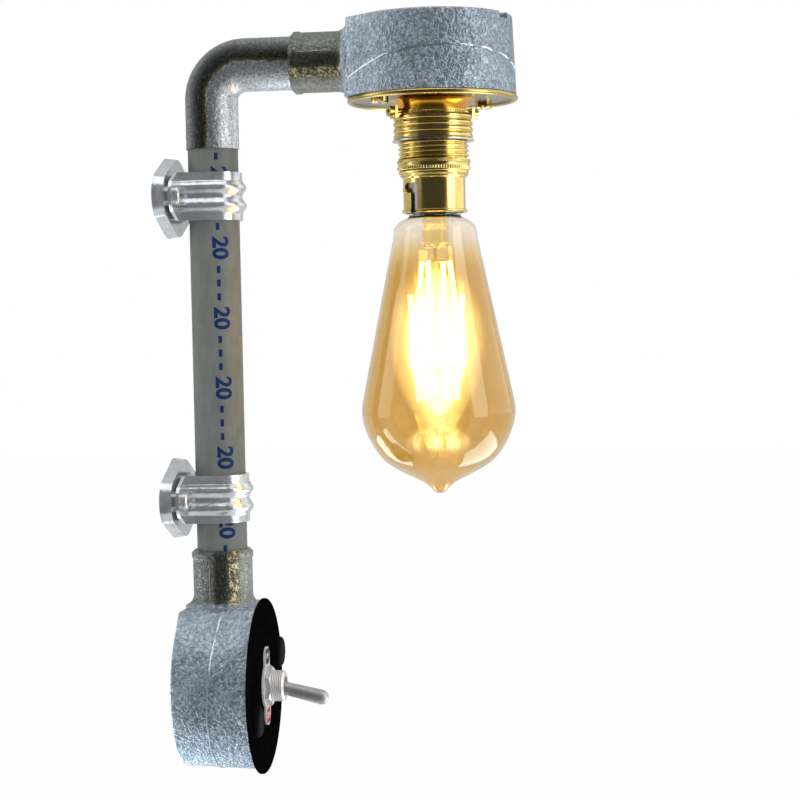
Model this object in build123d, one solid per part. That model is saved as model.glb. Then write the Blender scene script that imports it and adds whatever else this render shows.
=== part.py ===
from build123d import *
import os
from math import cos, pi, radians, sin, sqrt, tan

# Wall light made of 20 mm steel conduit and two round malleable iron conduit boxes.
# Frame: the wall is the plane Y = 0 and the light stands out along -Y. +Z is up. X = 0 is
# the plane that holds both the upright conduit and the arm. The origin is on the wall,
# halfway between the two saddle screws. All sizes are millimetres.

# ---------------------------------------------------------------- driving sizes
# Layout
CONDUIT_OFF_WALL = 19.0      # wall to the conduit's axis
SADDLE_SPACING = 120.0       # between the two wall screws
ELBOW_GAP = 9.4              # upper strap to the elbow
SPOUT_GAP = 11.1             # lower strap to the switch box's spout
# Conduit
CONDUIT_OD = 20.0
CONDUIT_WALL = 1.6
CONDUIT_STEP = 0.7           # end turned down by this much to enter the elbow
# Elbow
ELBOW_SWELL = 0.55           # stands proud of the conduit by this much
ELBOW_BEND = 13.8            # radius of the centre line
ELBOW_LEG = 33.1             # corner of the axes to each face
ELBOW_SOCKET = 13.0          # depth of the lower socket
ELBOW_SPIGOT = 18.0          # length of the spigot inside the arm's box
ELBOW_BORE_WALL = 1.8        # wall of the spigot
# Conduit boxes, both the same casting
BOX_RIM_OD = 66.0
BOX_BACK_OD = 63.6
BOX_CHEEK = 3.4              # rim and back beyond the spout
BOX_WALL = 3.4
BOX_FLOOR = 3.0
BOX_FOOT = 1.5               # height of the foot ring round the back
BOX_FOOT_WIDTH = 4.5
BOX_BACK_ROUND = 0.9
NOTCH_WIDTH = 6.4            # drain notch in the foot ring
NOTCH_DEPTH = 2.6
NOTCH_ANGLE = 202.0          # from the spout, seen from the open side
SPOUT_REACH = 55.4           # box centre to the spout's mouth
SPOUT_WALL = 1.9             # over the conduit it takes
SPOUT_BEAD = 0.4             # how far the bead at the mouth stands out
SPOUT_BEAD_LENGTH = 3.2
SPOUT_THREAD = 21.0          # depth of the bore that takes the conduit
SPOUT_STOP = 1.5             # step that stops the conduit's end
SPOUT_FLARE = 4.6            # radius where the spout runs into the box
SPOUT_FLARE_RISE = 3.3       # how far the flare opens
LUG_PCD = 50.8
LAMP_LUG_ANGLE = -43.0       # from the spout, seen from the open side
SWITCH_LUG_ANGLE = -67.0
LUG_OD = 9.6
LUG_SCREW_OD = 4.0
LUG_TAPPED = 15.0
BACK_HOLE = 5.2              # the switch box's own fixing holes
BACK_HOLE_SPACING = 40.0
CABLE_HOLE = 12.5
CABLE_HOLE_DROP = 16.0       # box centre to the cable hole
GROMMET_BORE = 7.0
# Saddles
BASE_DEPTH = 4.5
BASE_SHEET = 1.8
BASE_WIDE_R = 16.0           # round middle of the base
BASE_END_R = 9.5             # round ends of the base
BASE_LENGTH = 52.0
BASE_DRAFT = 8.0
SEAT_WIDTH = 14.0
WALL_SCREW_HOLE = 5.0
WALL_SCREW_HEAD = 9.5
STRAP_WIDTH = 19.0
STRAP_SHEET = 1.3
STRAP_RIB = 1.6
STRAP_RIB_PITCH = 7.0
EAR_STANDOFF = 6.1           # wall to the back of the strap's ears
EAR_END_R = 7.0
EAR_SCREW_X = 17.5
EAR_SCREW_OD = 4.0
EAR_SCREW_HEAD = 7.6
# Switch
LID_OD = 70.0
LID_THICKNESS = 1.2
LID_CAP_OD = 12.4
LID_CAP_HEIGHT = 2.8
SWITCH_BUSH_OD = 12.0
SWITCH_BUSH_BORE = 7.9
BUSH_ABOVE_LID = 8.0
LEGEND_SHEET = 0.8
LEGEND_R = 9.2
LEGEND_HEIGHT = 31.5
LEGEND_TAB = 8.8
NUT_ACROSS_FLATS = 14.0
NUT_THICKNESS = 2.2
LOCK_WASHER = 1.0
BODY_FRAME = 1.0
BODY_LENGTH = 26.0
BODY_WIDTH = 15.0
BODY_DEPTH = 13.0
TERMINAL_PITCH = 12.0
TERMINAL_REACH = 6.0
TERMINAL_WIDTH = 6.3
TERMINAL_SHEET = 0.8
LEVER_PIVOT_DEPTH = 4.3      # bush mouth down to the lever's pivot
LEVER_REACH = 22.3           # pivot to the lever's tip
LEVER_ROOT_OD = 4.9
LEVER_TIP_OD = 6.0
LEVER_TILT = 13.8            # each way from the bush's axis
LEVER_TAIL = 11.0
LEVER_TAIL_OD = 2.4
PIVOT_PIN_OD = 1.2
# Lampholder, heights are down from the arm's axis
PLATE_OD = 67.0
PLATE_SHEET = 1.2
PLATE_ROLL = 1.1             # radius of the rolled edge
COLLAR_TOP_OD = 33.6
COLLAR_NECK_OD = 26.2
COLLAR_HEIGHT = 4.1
COLLAR_SHEET = 1.0
KNEE = 0.6                   # slope where collar and union ring widen to the bore
KNEE_EASE = 0.5              # top of the union ring to that slope
UNION_OD = 31.2
UNION_HEIGHT = 10.0
UNION_KNURL_OD = 27.4
UNION_KNURL_HEIGHT = 1.2
UNION_RIBS = 4
UNION_RIB = 0.7
UNION_BORE = 28.5
UNION_LIP = 1.1
CARRIER_OD = 32.1
CARRIER_SHEET = 0.5
BARREL_OD = 25.8             # under the rolled thread
BARREL_LENGTH = 14.0         # carrier ring down to the shoulder
BARREL_WALL = 0.9
SKIRT_OD = 24.4
SKIRT_WALL = 0.8
SKIRT_LENGTH = 14.0
SKIRT_ROLL = 0.7
SLOT_WIDTH = 3.2
SLOT_ENTRY_ANGLE = 145.5     # from +X, seen from above
SLOT_SEAT_ANGLE = 125.0
SLOT_HEADROOM = 1.8          # above the seated lamp pin
SHADE_RING_OD = 28.8
SHADE_RING_HEIGHT = 4.3
SHADE_LIP_OD = 27.2
SHADE_LIP_HEIGHT = 2.2
SHADE_RING_DROP = 7.1        # carrier ring to the shade ring as photographed
BLOCK_NECK_OD = 22.6
BLOCK_FLANGE = 3.3
BLOCK_BODY_OD = 20.8
BLOCK_BODY = 11.0
PLUNGER_OD = 4.6
PLUNGER_PITCH = 9.5
PLUNGER_LENGTH = 10.5
COVER_SCREW_ANGLE = 125.0
COVER_SCREW_OD = 2.6
COVER_SCREW_HEAD = 4.3
COVER_SCREW_HEAD_LENGTH = 1.9
EAR_WIDTH = 4.6              # ears of the union ring
EAR_HEIGHT = 4.8
EAR_TAB = 1.8
EAR_SHEET = 1.2
EAR_STANDS_OUT = 2.2
# Lamp, B22 cap
LAMP_CAP_OD = 22.0
LAMP_CAP_LENGTH = 15.8
LAMP_CAP_SHEET = 0.5
LAMP_PIN_OD = 2.0
LAMP_PIN_SPAN = 27.0
LAMP_PIN_BELOW_TOP = 6.8
LAMP_INSULATOR = 1.0
LAMP_CONTACT = 0.7
LAMP_PUSH = 1.6              # travel against the plungers
GLASS_OD = 60.4
GLASS_WALL = 0.8
GLASS_NECK_OD = 20.4
GLASS_SHOULDER_R = 16.6
GLASS_SHOULDER_DROP = 9.6    # skirt's mouth to where the cone starts
GLASS_CONE_LENGTH = 61.3     # straight part of the cone
GLASS_BELLY_EASE = 0.9       # the cone stops this much short of the widest radius
GLASS_LENGTH = 110.4         # skirt's mouth to the tip
GLASS_NIPPLE = 5.4           # height of the drawn tip
NIPPLE_R = 8.2
STEM_OD = 10.6
STEM_WALL = 0.8
FILAMENTS = 8
FILAMENT_OD = 1.8
FRAME_ROD_OD = 1.6
FRAME_WIRE_OD = 0.7
# Wiring
WIRE_OD = 2.8
WIRE_LEAN = 1.0              # live and neutral, from the conduit's axis towards the wall
EARTH_LEAN = 4.6             # earth, from the conduit's axis towards the wall
WIRE_BEND = 3.0
EARTH_OFFSET = 17.0          # earth pillar from the lampholder's axis
CONNECTOR_SIZE = (9.0, 16.0, 12.0)
CONNECTOR_X = 17.0
CONNECTOR_DROP = 8.0
# Clearances
FIT = 0.05                   # radial, bores on what they hold
RUN = 0.1                    # radial, running fits
EASE = 0.3                   # between curved faces that only lie side by side

# ---------------------------------------------------------------- derived places
CONDUIT_END_OD = CONDUIT_OD - 2 * CONDUIT_STEP
ELBOW_OD = CONDUIT_OD + 2 * ELBOW_SWELL
ELBOW_BORE = CONDUIT_OD - 2 * ELBOW_BORE_WALL
SPOUT_OD = CONDUIT_OD + 2 * SPOUT_WALL
BOX_DEPTH = SPOUT_OD + 2 * BOX_CHEEK
SPOUT_THROAT = CONDUIT_OD - 2 * SPOUT_STOP
SADDLE_END = SADDLE_SPACING / 2 + STRAP_WIDTH / 2
ARM_HEIGHT = SADDLE_END + ELBOW_GAP + ELBOW_LEG
Y_CONDUIT = -CONDUIT_OFF_WALL
Z_SWITCH = -(SADDLE_END + SPOUT_GAP + SPOUT_REACH)
Y_LAMP = Y_CONDUIT - ELBOW_LEG - SPOUT_REACH
HALF_DEPTH = BOX_DEPTH / 2
CONDUIT_R = CONDUIT_OD / 2
BOX_BORE_R = BOX_RIM_OD / 2 - BOX_WALL
BOX_FLOOR_TOP = -HALF_DEPTH + BOX_FOOT + BOX_FLOOR

# Each box has its own frame: x along its spout, z out of its open side.
LAMP_BOX_AT = Plane(origin=(0, Y_LAMP, ARM_HEIGHT), x_dir=(0, 1, 0), z_dir=(0, 0, -1))
SWITCH_BOX_AT = Plane(origin=(0, Y_CONDUIT, Z_SWITCH), x_dir=(0, 0, 1), z_dir=(0, -1, 0))
LAMP_LUGS = (LAMP_LUG_ANGLE, LAMP_LUG_ANGLE + 180)
SWITCH_LUGS = (SWITCH_LUG_ANGLE, SWITCH_LUG_ANGLE + 180)

# Switch stack, heights in the switch box's frame
LID_FACE = HALF_DEPTH + LID_THICKNESS
LEGEND_FACE = LID_FACE + LEGEND_SHEET
NUT_FACE = LEGEND_FACE + NUT_THICKNESS
BUSH_FACE = LID_FACE + BUSH_ABOVE_LID
PIVOT_HEIGHT = BUSH_FACE - LEVER_PIVOT_DEPTH
FRAME_TOP = HALF_DEPTH - LOCK_WASHER
BODY_TOP = FRAME_TOP - BODY_FRAME
BODY_FOOT = BODY_TOP - BODY_DEPTH

# Lampholder stack, world heights from the box's rim down
PLATE_TOP = ARM_HEIGHT - HALF_DEPTH
PLATE_FACE = PLATE_TOP - PLATE_SHEET
COLLAR_FOOT = PLATE_FACE - COLLAR_HEIGHT
UNION_TOP = COLLAR_FOOT - UNION_KNURL_HEIGHT - 0.4
UNION_FOOT = UNION_TOP - UNION_HEIGHT
CARRIER_FOOT = UNION_FOOT - CARRIER_SHEET
FLANGE_FOOT = UNION_FOOT + UNION_LIP
FLANGE_TOP = FLANGE_FOOT + 1.0
BLOCK_SEAT = FLANGE_TOP + BLOCK_FLANGE
SHOULDER = CARRIER_FOOT - BARREL_LENGTH
SKIRT_FOOT = SHOULDER - SKIRT_LENGTH
BARREL_BORE_R = BARREL_OD / 2 - BARREL_WALL
SKIRT_BORE_R = SKIRT_OD / 2 - SKIRT_WALL
FLANGE_R = UNION_BORE / 2 - FIT
BLOCK_FOOT = FLANGE_TOP - BLOCK_BODY
SHADE_TOP = CARRIER_FOOT - SHADE_RING_DROP
SHADE_SPLIT = SHADE_TOP - SHADE_RING_HEIGHT
SHADE_FOOT = SHADE_SPLIT - SHADE_LIP_HEIGHT
SHADE_BORE_R = BARREL_OD / 2 + RUN

# Lamp, world heights
CAP_TOP = BLOCK_FOOT - 4.0
CAP_FOOT = CAP_TOP - LAMP_CAP_LENGTH
PIN_HEIGHT = CAP_TOP - LAMP_PIN_BELOW_TOP
CONTACT_TOP = CAP_TOP + LAMP_INSULATOR + LAMP_CONTACT
GLASS_TIP = SKIRT_FOOT - GLASS_LENGTH
GLASS_TOP = CAP_TOP - 3.4
STEM_FOOT = SKIRT_FOOT - 14.0
PLUNGER_ANGLE = SLOT_SEAT_ANGLE + 90
PLUNGER_PLACES = [Rot(0, 0, PLUNGER_ANGLE) * Pos(side * PLUNGER_PITCH / 2, 0) for side in (-1, 1)]
WELL_TOP = CONTACT_TOP + PLUNGER_LENGTH + 5.0
BLOCK_TOP = PLATE_TOP + 1.5
COVER_SCREW_HEIGHT = UNION_TOP + 0.9


# ---------------------------------------------------------------- small helpers
def at_angle(radius, degrees):
    return (radius * cos(radians(degrees)), radius * sin(radians(degrees)))


def seen_from_above(angle):
    """The lamp box looks down: turns an angle in its frame into one about Z from +X."""
    return 90 - angle


def turned(points, x=0.0, y=0.0, arc=360):
    """A solid turned about an upright axis from (radius, height) corners."""
    face = make_face(Plane.XZ * Polyline(*points, close=True))
    return Pos(x, y, 0) * revolve(face, Axis.Z, arc)


def turned_wire(wire, x=0.0, y=0.0):
    """A solid turned about an upright axis from a closed outline drawn as curves."""
    return Pos(x, y, 0) * revolve(make_face(Plane.XZ * wire), Axis.Z)


def rod(radius, start, end):
    """A round bar between two points."""
    start, end = Vector(*start), Vector(*end)
    frame = Plane(origin=start, z_dir=end - start)
    return extrude(frame * Circle(radius), (end - start).length)


def tube(radius, bore, low, high):
    """An upright ring about Z."""
    ring = Circle(radius) - Circle(bore)
    return Pos(0, 0, low) * extrude(ring, high - low)


def plate(sketch, low, high):
    return Pos(0, 0, low) * extrude(sketch, high - low)


def hull(*circles):
    """The outline round circles given as (x, y, radius), facing up."""
    face = make_hull([(Pos(x, y) * Circle(r)).edge() for x, y, r in circles]).face()
    return Sketch() + (face if face.normal_at().Z > 0 else -face)


# ---------------------------------------------------------------- conduit and elbow
def make_conduit():
    foot = Z_SWITCH + SPOUT_REACH - SPOUT_THREAD + FIT
    face = ARM_HEIGHT - ELBOW_LEG
    top = face + ELBOW_SOCKET - FIT
    bore = CONDUIT_R - CONDUIT_WALL
    end_r = CONDUIT_END_OD / 2
    outline = [(bore, foot), (CONDUIT_R, foot), (CONDUIT_R, face - FIT),
               (end_r, face - FIT), (end_r, top), (bore, top)]
    return turned(outline, 0, Y_CONDUIT)


def make_elbow():
    radius = ELBOW_OD / 2
    face = ARM_HEIGHT - ELBOW_LEG
    end = Y_CONDUIT - ELBOW_LEG
    spigot_end = end - ELBOW_SPIGOT
    # The centre line runs up, round the bend and out along the arm.
    corner = Plane(origin=(0, Y_CONDUIT, ARM_HEIGHT), x_dir=(0, 1, 0), z_dir=(1, 0, 0))
    line = corner * (
        Line((0, -ELBOW_LEG), (0, -ELBOW_BEND))
        + CenterArc((-ELBOW_BEND, -ELBOW_BEND), ELBOW_BEND, 0, 90)
        + Line((-ELBOW_BEND, 0), (-ELBOW_LEG, 0))
    )
    foot = Plane(origin=(0, Y_CONDUIT, face), z_dir=(0, 0, 1))
    outside = sweep(foot * Circle(radius), path=line)
    outside = outside + rod(CONDUIT_R - FIT, (0, end, ARM_HEIGHT), (0, spigot_end, ARM_HEIGHT))
    inside = sweep(foot * Circle(ELBOW_BORE / 2), path=line)
    inside = inside + rod(ELBOW_BORE / 2, (0, end, ARM_HEIGHT), (0, spigot_end, ARM_HEIGHT))
    socket = rod(CONDUIT_END_OD / 2 + FIT, (0, Y_CONDUIT, face), (0, Y_CONDUIT, face + ELBOW_SOCKET))
    return outside - inside - socket


# ---------------------------------------------------------------- conduit boxes
def spout_outline():
    """(along, radius) outline of the spout from the box's middle to its mouth."""
    radius = SPOUT_OD / 2
    wide = radius + SPOUT_FLARE_RISE
    run = sqrt(SPOUT_FLARE**2 - (SPOUT_FLARE - SPOUT_FLARE_RISE) ** 2)
    wall = BOX_RIM_OD / 2
    bead = SPOUT_REACH - SPOUT_BEAD_LENGTH
    bevel = 3 * SPOUT_BEAD
    return (
        Polyline((wall, wide), (0, wide), (0, 0), (SPOUT_REACH, 0),
                 (SPOUT_REACH, radius + SPOUT_BEAD - bevel), (SPOUT_REACH - bevel, radius + SPOUT_BEAD),
                 (bead, radius + SPOUT_BEAD), (bead - SPOUT_BEAD, radius), (wall + run, radius))
        + RadiusArc((wall, wide), (wall + run, radius), -SPOUT_FLARE)
    )


def box_plan(radius):
    """Plan of the box: a circle drawn out to a pad as wide as the spout's flare."""
    corner = 1.5
    half_pad = SPOUT_OD / 2 + SPOUT_FLARE_RISE - corner
    return hull((0, 0, radius), (radius - corner, half_pad, corner), (radius - corner, -half_pad, corner))


def make_box(lugs):
    """The casting in its own frame, with its spout, foot ring and two tapped lugs."""
    back = Pos(0, 0, -HALF_DEPTH) * box_plan(BOX_BACK_OD / 2)
    rim = Pos(0, 0, HALF_DEPTH) * box_plan(BOX_RIM_OD / 2)
    shell = loft([back, rim], ruled=True)
    shell = fillet(shell.edges().group_by(Axis.Z)[0], BOX_BACK_ROUND)
    body = shell + revolve(make_face(spout_outline()), Axis.X)
    cavity = plate(Circle(BOX_BORE_R), BOX_FLOOR_TOP, HALF_DEPTH)
    recess = plate(Circle(BOX_BACK_OD / 2 - BOX_FOOT_WIDTH), -HALF_DEPTH, -HALF_DEPTH + BOX_FOOT)
    body = body - cavity - recess
    reach = LUG_PCD / 2
    wall_r = BOX_BORE_R + BOX_WALL / 2
    for angle in lugs:
        lug = hull((reach, 0, LUG_OD / 2), (wall_r, 0, LUG_OD / 2)) & Circle(wall_r)
        body = body + plate(Rot(0, 0, angle) * lug, BOX_FLOOR_TOP - BOX_FLOOR / 2, HALF_DEPTH)
    for angle in lugs:
        hole = Pos(*at_angle(reach, angle)) * Circle(LUG_SCREW_OD / 2 + FIT)
        body = body - plate(hole, HALF_DEPTH - LUG_TAPPED, HALF_DEPTH)
    bore_end = SPOUT_REACH - SPOUT_THREAD
    body = body - rod(CONDUIT_R + FIT, (bore_end, 0, 0), (SPOUT_REACH, 0, 0))
    body = body - rod(SPOUT_THROAT / 2, (BOX_BORE_R - BOX_WALL, 0, 0), (bore_end, 0, 0))
    notch = Box(4 * BOX_FOOT_WIDTH, NOTCH_WIDTH, 2 * NOTCH_DEPTH)
    return body - Rot(0, 0, NOTCH_ANGLE) * Pos(BOX_BACK_OD / 2, 0, -HALF_DEPTH) * notch


def make_lamp_box():
    return LAMP_BOX_AT * make_box(LAMP_LUGS)


def make_switch_box():
    box = make_box(SWITCH_LUGS)
    floor_low = -HALF_DEPTH + BOX_FOOT
    for side in (-1, 1):
        hole = Pos(0, side * BACK_HOLE_SPACING / 2) * Circle(BACK_HOLE / 2)
        box = box - plate(hole, floor_low, BOX_FLOOR_TOP)
    cable = Pos(-CABLE_HOLE_DROP, 0) * Circle(CABLE_HOLE / 2)
    return SWITCH_BOX_AT * (box - plate(cable, floor_low, BOX_FLOOR_TOP))


def make_cable_grommet():
    """A rubber ring gripping the edge of the cable hole from both sides."""
    floor_low = -HALF_DEPTH + BOX_FOOT
    neck, flange, lip = CABLE_HOLE / 2, CABLE_HOLE / 2 + 1.6, 1.3
    bore = GROMMET_BORE / 2
    outline = [(bore, floor_low - lip), (flange, floor_low - lip), (flange, floor_low),
               (neck, floor_low), (neck, BOX_FLOOR_TOP), (flange, BOX_FLOOR_TOP),
               (flange, BOX_FLOOR_TOP + lip), (bore, BOX_FLOOR_TOP + lip)]
    return SWITCH_BOX_AT * (Pos(-CABLE_HOLE_DROP, 0, 0) * turned(outline))


# ---------------------------------------------------------------- saddles
def base_outline(inset):
    end_x = BASE_LENGTH / 2 - BASE_END_R
    return hull((0, 0, BASE_WIDE_R - inset), (end_x, 0, BASE_END_R - inset),
                (-end_x, 0, BASE_END_R - inset))


def base_block(inset, depth):
    """The base's outline drawn up to a depth with its sides leaning in."""
    lean = depth * tan(radians(BASE_DRAFT))
    return loft([base_outline(inset), Pos(0, 0, depth) * base_outline(inset + lean)], ruled=True)


def make_saddle_base(height):
    """A dished base with a raised seat for the conduit and a tapped boss under each ear."""
    # In the base's frame x runs along X, y along Z and z out of the wall.
    frame = Plane(origin=(0, 0, height), x_dir=(-1, 0, 0), z_dir=(0, -1, 0))
    dish = base_block(0, BASE_DEPTH) - base_block(BASE_SHEET, BASE_DEPTH - BASE_SHEET)
    seat_top = CONDUIT_OFF_WALL - CONDUIT_R * 0.72
    seat = plate(Rectangle(SEAT_WIDTH, STRAP_WIDTH - 2), BASE_DEPTH - BASE_SHEET, seat_top)
    eye = plate(Circle(WALL_SCREW_HEAD / 2), 0, BASE_DEPTH)
    base = dish + seat + eye
    for side in (-1, 1):
        boss = Pos(side * EAR_SCREW_X, 0) * Circle(EAR_SCREW_OD)
        base = base + plate(boss, BASE_DEPTH - BASE_SHEET, EAR_STANDOFF)
    for side in (-1, 1):
        hole = Pos(side * EAR_SCREW_X, 0) * Circle(EAR_SCREW_OD / 2 + FIT)
        base = base - plate(hole, 0, EAR_STANDOFF)
    conduit = Rot(90, 0, 0) * Cylinder(CONDUIT_R + FIT, 4 * STRAP_WIDTH)
    base = base - Pos(0, 0, CONDUIT_OFF_WALL) * conduit
    floor = CONDUIT_OFF_WALL - CONDUIT_R
    sink = turned([(0, 0), (WALL_SCREW_HOLE / 2, 0), (WALL_SCREW_HOLE / 2, floor - 2.6),
                   (WALL_SCREW_HEAD / 2, floor), (WALL_SCREW_HEAD / 2, floor + 3), (0, floor + 3)])
    return frame * (base - sink)


def strap_radius(height):
    """Inside radius of the strap at a height from its middle: two pressed ribs."""
    inside = CONDUIT_R + FIT
    if abs(height) >= STRAP_RIB_PITCH:
        return inside
    return inside + STRAP_RIB * (1 - cos(2 * pi * height / STRAP_RIB_PITCH)) / 2


def strap_section():
    """The strap's cross-section in (radius, height)."""
    half = STRAP_WIDTH / 2
    steps = 8
    heights = [STRAP_RIB_PITCH * (i / steps) for i in range(-steps, steps + 1)]
    inner = [(strap_radius(h), h) for h in heights]
    outer = [(r + STRAP_SHEET, h) for r, h in inner]
    flat = CONDUIT_R + FIT
    return make_face(
        Polyline(inner[0], (flat, -half), (flat + STRAP_SHEET, -half), outer[0])
        + Spline(*outer, tangents=((0, 1), (0, 1)))
        + Polyline(outer[-1], (flat + STRAP_SHEET, half), (flat, half), inner[-1])
        + Spline(*inner, tangents=((0, 1), (0, 1)))
    )


def make_saddle_strap(height):
    section = Plane.XZ * strap_section()
    hoop = revolve(Rot(0, 0, 180) * section, Axis.Z, 180)
    leg_length = CONDUIT_OFF_WALL - EAR_STANDOFF
    leg = extrude(section, leg_length, dir=(0, 1, 0))
    strap = hoop + leg + mirror(leg, about=Plane.YZ)
    ear_back = leg_length
    root = CONDUIT_R + FIT + STRAP_SHEET / 2
    half = STRAP_WIDTH / 2
    ear = hull((EAR_SCREW_X, 0, EAR_END_R), (root + 1.5, half - 1.5, 1.5), (root + 1.5, 1.5 - half, 1.5))
    ear = ear - Pos(EAR_SCREW_X, 0) * Circle(EAR_SCREW_OD / 2 + 0.2)
    ear = Plane.XZ.offset(-ear_back) * ear
    ear = extrude(ear, STRAP_SHEET, dir=(0, -1, 0))
    strap = strap + ear + mirror(ear, about=Plane.YZ)
    return Pos(0, Y_CONDUIT, height) * strap


def make_saddle_screws(height):
    """Two pan head screws through the ears into the base."""
    head_y = -EAR_STANDOFF - STRAP_SHEET
    screws = []
    for side in (-1, 1):
        frame = Plane(origin=(side * EAR_SCREW_X, head_y, height), x_dir=(1, 0, 0), z_dir=(0, -1, 0))
        head = extrude(Circle(EAR_SCREW_HEAD / 2), 2.4)
        head = fillet(head.edges().sort_by(Axis.Z)[-1], 1.3)
        shank = plate(Circle(EAR_SCREW_OD / 2), head_y + 0.8, 0)
        recess = plate(Rectangle(4.2, 1.0) + Rectangle(1.0, 4.2), 1.2, 2.4)
        screws.append(frame * (head + shank - recess))
    return Compound(screws)


# ---------------------------------------------------------------- switch and lid
def make_switch_lid():
    lid = extrude(Circle(LID_OD / 2), LID_THICKNESS)
    lid = chamfer(lid.edges().sort_by(Axis.Z)[-1], 0.4)
    lid = Pos(0, 0, HALF_DEPTH) * lid
    lid = lid - plate(Circle(SWITCH_BUSH_OD / 2 + FIT), HALF_DEPTH, LID_FACE)
    for angle in SWITCH_LUGS:
        hole = Pos(*at_angle(LUG_PCD / 2, angle)) * Circle(LUG_SCREW_OD / 2 + 0.2)
        lid = lid - plate(hole, HALF_DEPTH, LID_FACE)
    return SWITCH_BOX_AT * lid


def make_lid_screws():
    """Two screws with large domed black heads."""
    screws = []
    for angle in SWITCH_LUGS:
        head = extrude(Circle(LID_CAP_OD / 2), LID_CAP_HEIGHT)
        head = fillet(head.edges().sort_by(Axis.Z)[-1], LID_CAP_HEIGHT * 0.6)
        shank = plate(Circle(LUG_SCREW_OD / 2), -LID_THICKNESS - LUG_TAPPED + 3, 0)
        screws.append(Pos(*at_angle(LUG_PCD / 2, angle), LID_FACE) * (head + shank))
    return SWITCH_BOX_AT * Compound(screws)


def make_legend_plate():
    """A thin tag under the nut with a tab above and below for the legends."""
    tab = LEGEND_TAB / 2
    reach = LEGEND_HEIGHT / 2 - tab
    outline = Circle(LEGEND_R) + hull((reach, 0, tab), (-reach, 0, tab))
    outline = outline - Circle(SWITCH_BUSH_OD / 2 + FIT)
    return SWITCH_BOX_AT * plate(outline, LID_FACE, LEGEND_FACE)


def make_switch_nut():
    nut = RegularPolygon(NUT_ACROSS_FLATS / 2, 6, major_radius=False) - Circle(SWITCH_BUSH_OD / 2 + FIT)
    nut = plate(nut, LEGEND_FACE, NUT_FACE)
    # The corners of both faces are bevelled, as on a turned nut.
    corner = NUT_ACROSS_FLATS / 2 / cos(radians(30))
    flat = NUT_ACROSS_FLATS / 2
    bevel = (corner - flat) * tan(radians(30))
    blank = turned([(0, LEGEND_FACE), (flat, LEGEND_FACE), (corner, LEGEND_FACE + bevel),
                    (corner, NUT_FACE - bevel), (flat, NUT_FACE), (0, NUT_FACE)])
    return SWITCH_BOX_AT * (nut & blank)


def make_lock_washer():
    ring = Circle(SWITCH_BUSH_OD / 2 + 2.6) - Circle(SWITCH_BUSH_OD / 2 + FIT)
    return SWITCH_BOX_AT * plate(ring, FRAME_TOP, HALF_DEPTH)


def make_switch_bush():
    bush = plate(Circle(SWITCH_BUSH_OD / 2) - Circle(SWITCH_BUSH_BORE / 2), FRAME_TOP, BUSH_FACE)
    rim = bush.edges().filter_by(GeomType.CIRCLE).group_by(Axis.Z)[-1].sort_by(SortBy.RADIUS)[-1]
    bush = chamfer(rim, 0.6)
    reach = SWITCH_BUSH_OD / 2
    bush = bush - rod(PIVOT_PIN_OD / 2 + FIT / 2, (0, -reach, PIVOT_HEIGHT), (0, reach, PIVOT_HEIGHT))
    return SWITCH_BOX_AT * bush


def make_pivot_pin():
    reach = SWITCH_BUSH_OD / 2 - 0.5
    return SWITCH_BOX_AT * rod(PIVOT_PIN_OD / 2, (0, -reach, PIVOT_HEIGHT), (0, reach, PIVOT_HEIGHT))


def make_switch_frame():
    """The folded steel frame that closes the top of the switch body."""
    sheet = BODY_FRAME
    top = plate(Rectangle(BODY_LENGTH, BODY_WIDTH), BODY_TOP, FRAME_TOP)
    top = top - plate(Circle(SWITCH_BUSH_BORE / 2), BODY_TOP, FRAME_TOP)
    cheek = Pos(0, BODY_WIDTH / 2 + sheet / 2, BODY_TOP - 4) * Box(BODY_LENGTH * 0.6, sheet, 8 + 2 * sheet)
    cheek = cheek + Pos(0, BODY_WIDTH / 2 + sheet / 2, 0) * Pos(0, -sheet, BODY_TOP + sheet / 2) * Box(
        BODY_LENGTH * 0.6, sheet, sheet)
    frame = top + cheek + mirror(cheek, about=Plane.XZ)
    return SWITCH_BOX_AT * frame


def make_switch_body():
    """The moulded body, hollow where the lever's tail swings."""
    body = plate(RectangleRounded(BODY_LENGTH, BODY_WIDTH, 1), BODY_FOOT, BODY_TOP)
    well = plate(Rectangle(BODY_LENGTH - 8, BODY_WIDTH - 5), BODY_TOP - 8, BODY_TOP)
    return SWITCH_BOX_AT * (body - well)


def make_switch_terminals():
    blades = []
    for side in (-1, 1):
        blade = Rectangle(TERMINAL_SHEET, TERMINAL_WIDTH)
        blade = plate(blade, BODY_FOOT - TERMINAL_REACH, BODY_FOOT)
        blades.append(Pos(side * TERMINAL_PITCH / 2, 0, 0) * blade)
    return SWITCH_BOX_AT * Compound(blades)


def make_toggle_lever():
    """The bat lever as it stands switched on, tilted down about its pivot."""
    ball = SWITCH_BUSH_BORE / 2 - RUN
    root, tip = LEVER_ROOT_OD / 2, LEVER_TIP_OD / 2
    dome = LEVER_REACH - tip
    tail = LEVER_TAIL_OD / 2
    bat = make_face(
        Line((0, 0), (root, 0))
        + Line((root, 0), (tip, dome))
        + RadiusArc((tip, dome), (0, LEVER_REACH), -tip)
        + Line((0, LEVER_REACH), (0, 0))
    )
    lever = revolve(Plane.XZ * bat, Axis.Z) + Sphere(ball)
    lever = lever + plate(Circle(tail), -LEVER_TAIL, 0)
    lever = lever - Rot(90, 0, 0) * Cylinder(PIVOT_PIN_OD / 2 + FIT, 4 * ball)
    return SWITCH_BOX_AT * (Pos(0, 0, PIVOT_HEIGHT) * (Rot(0, -LEVER_TILT, 0) * lever))


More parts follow.
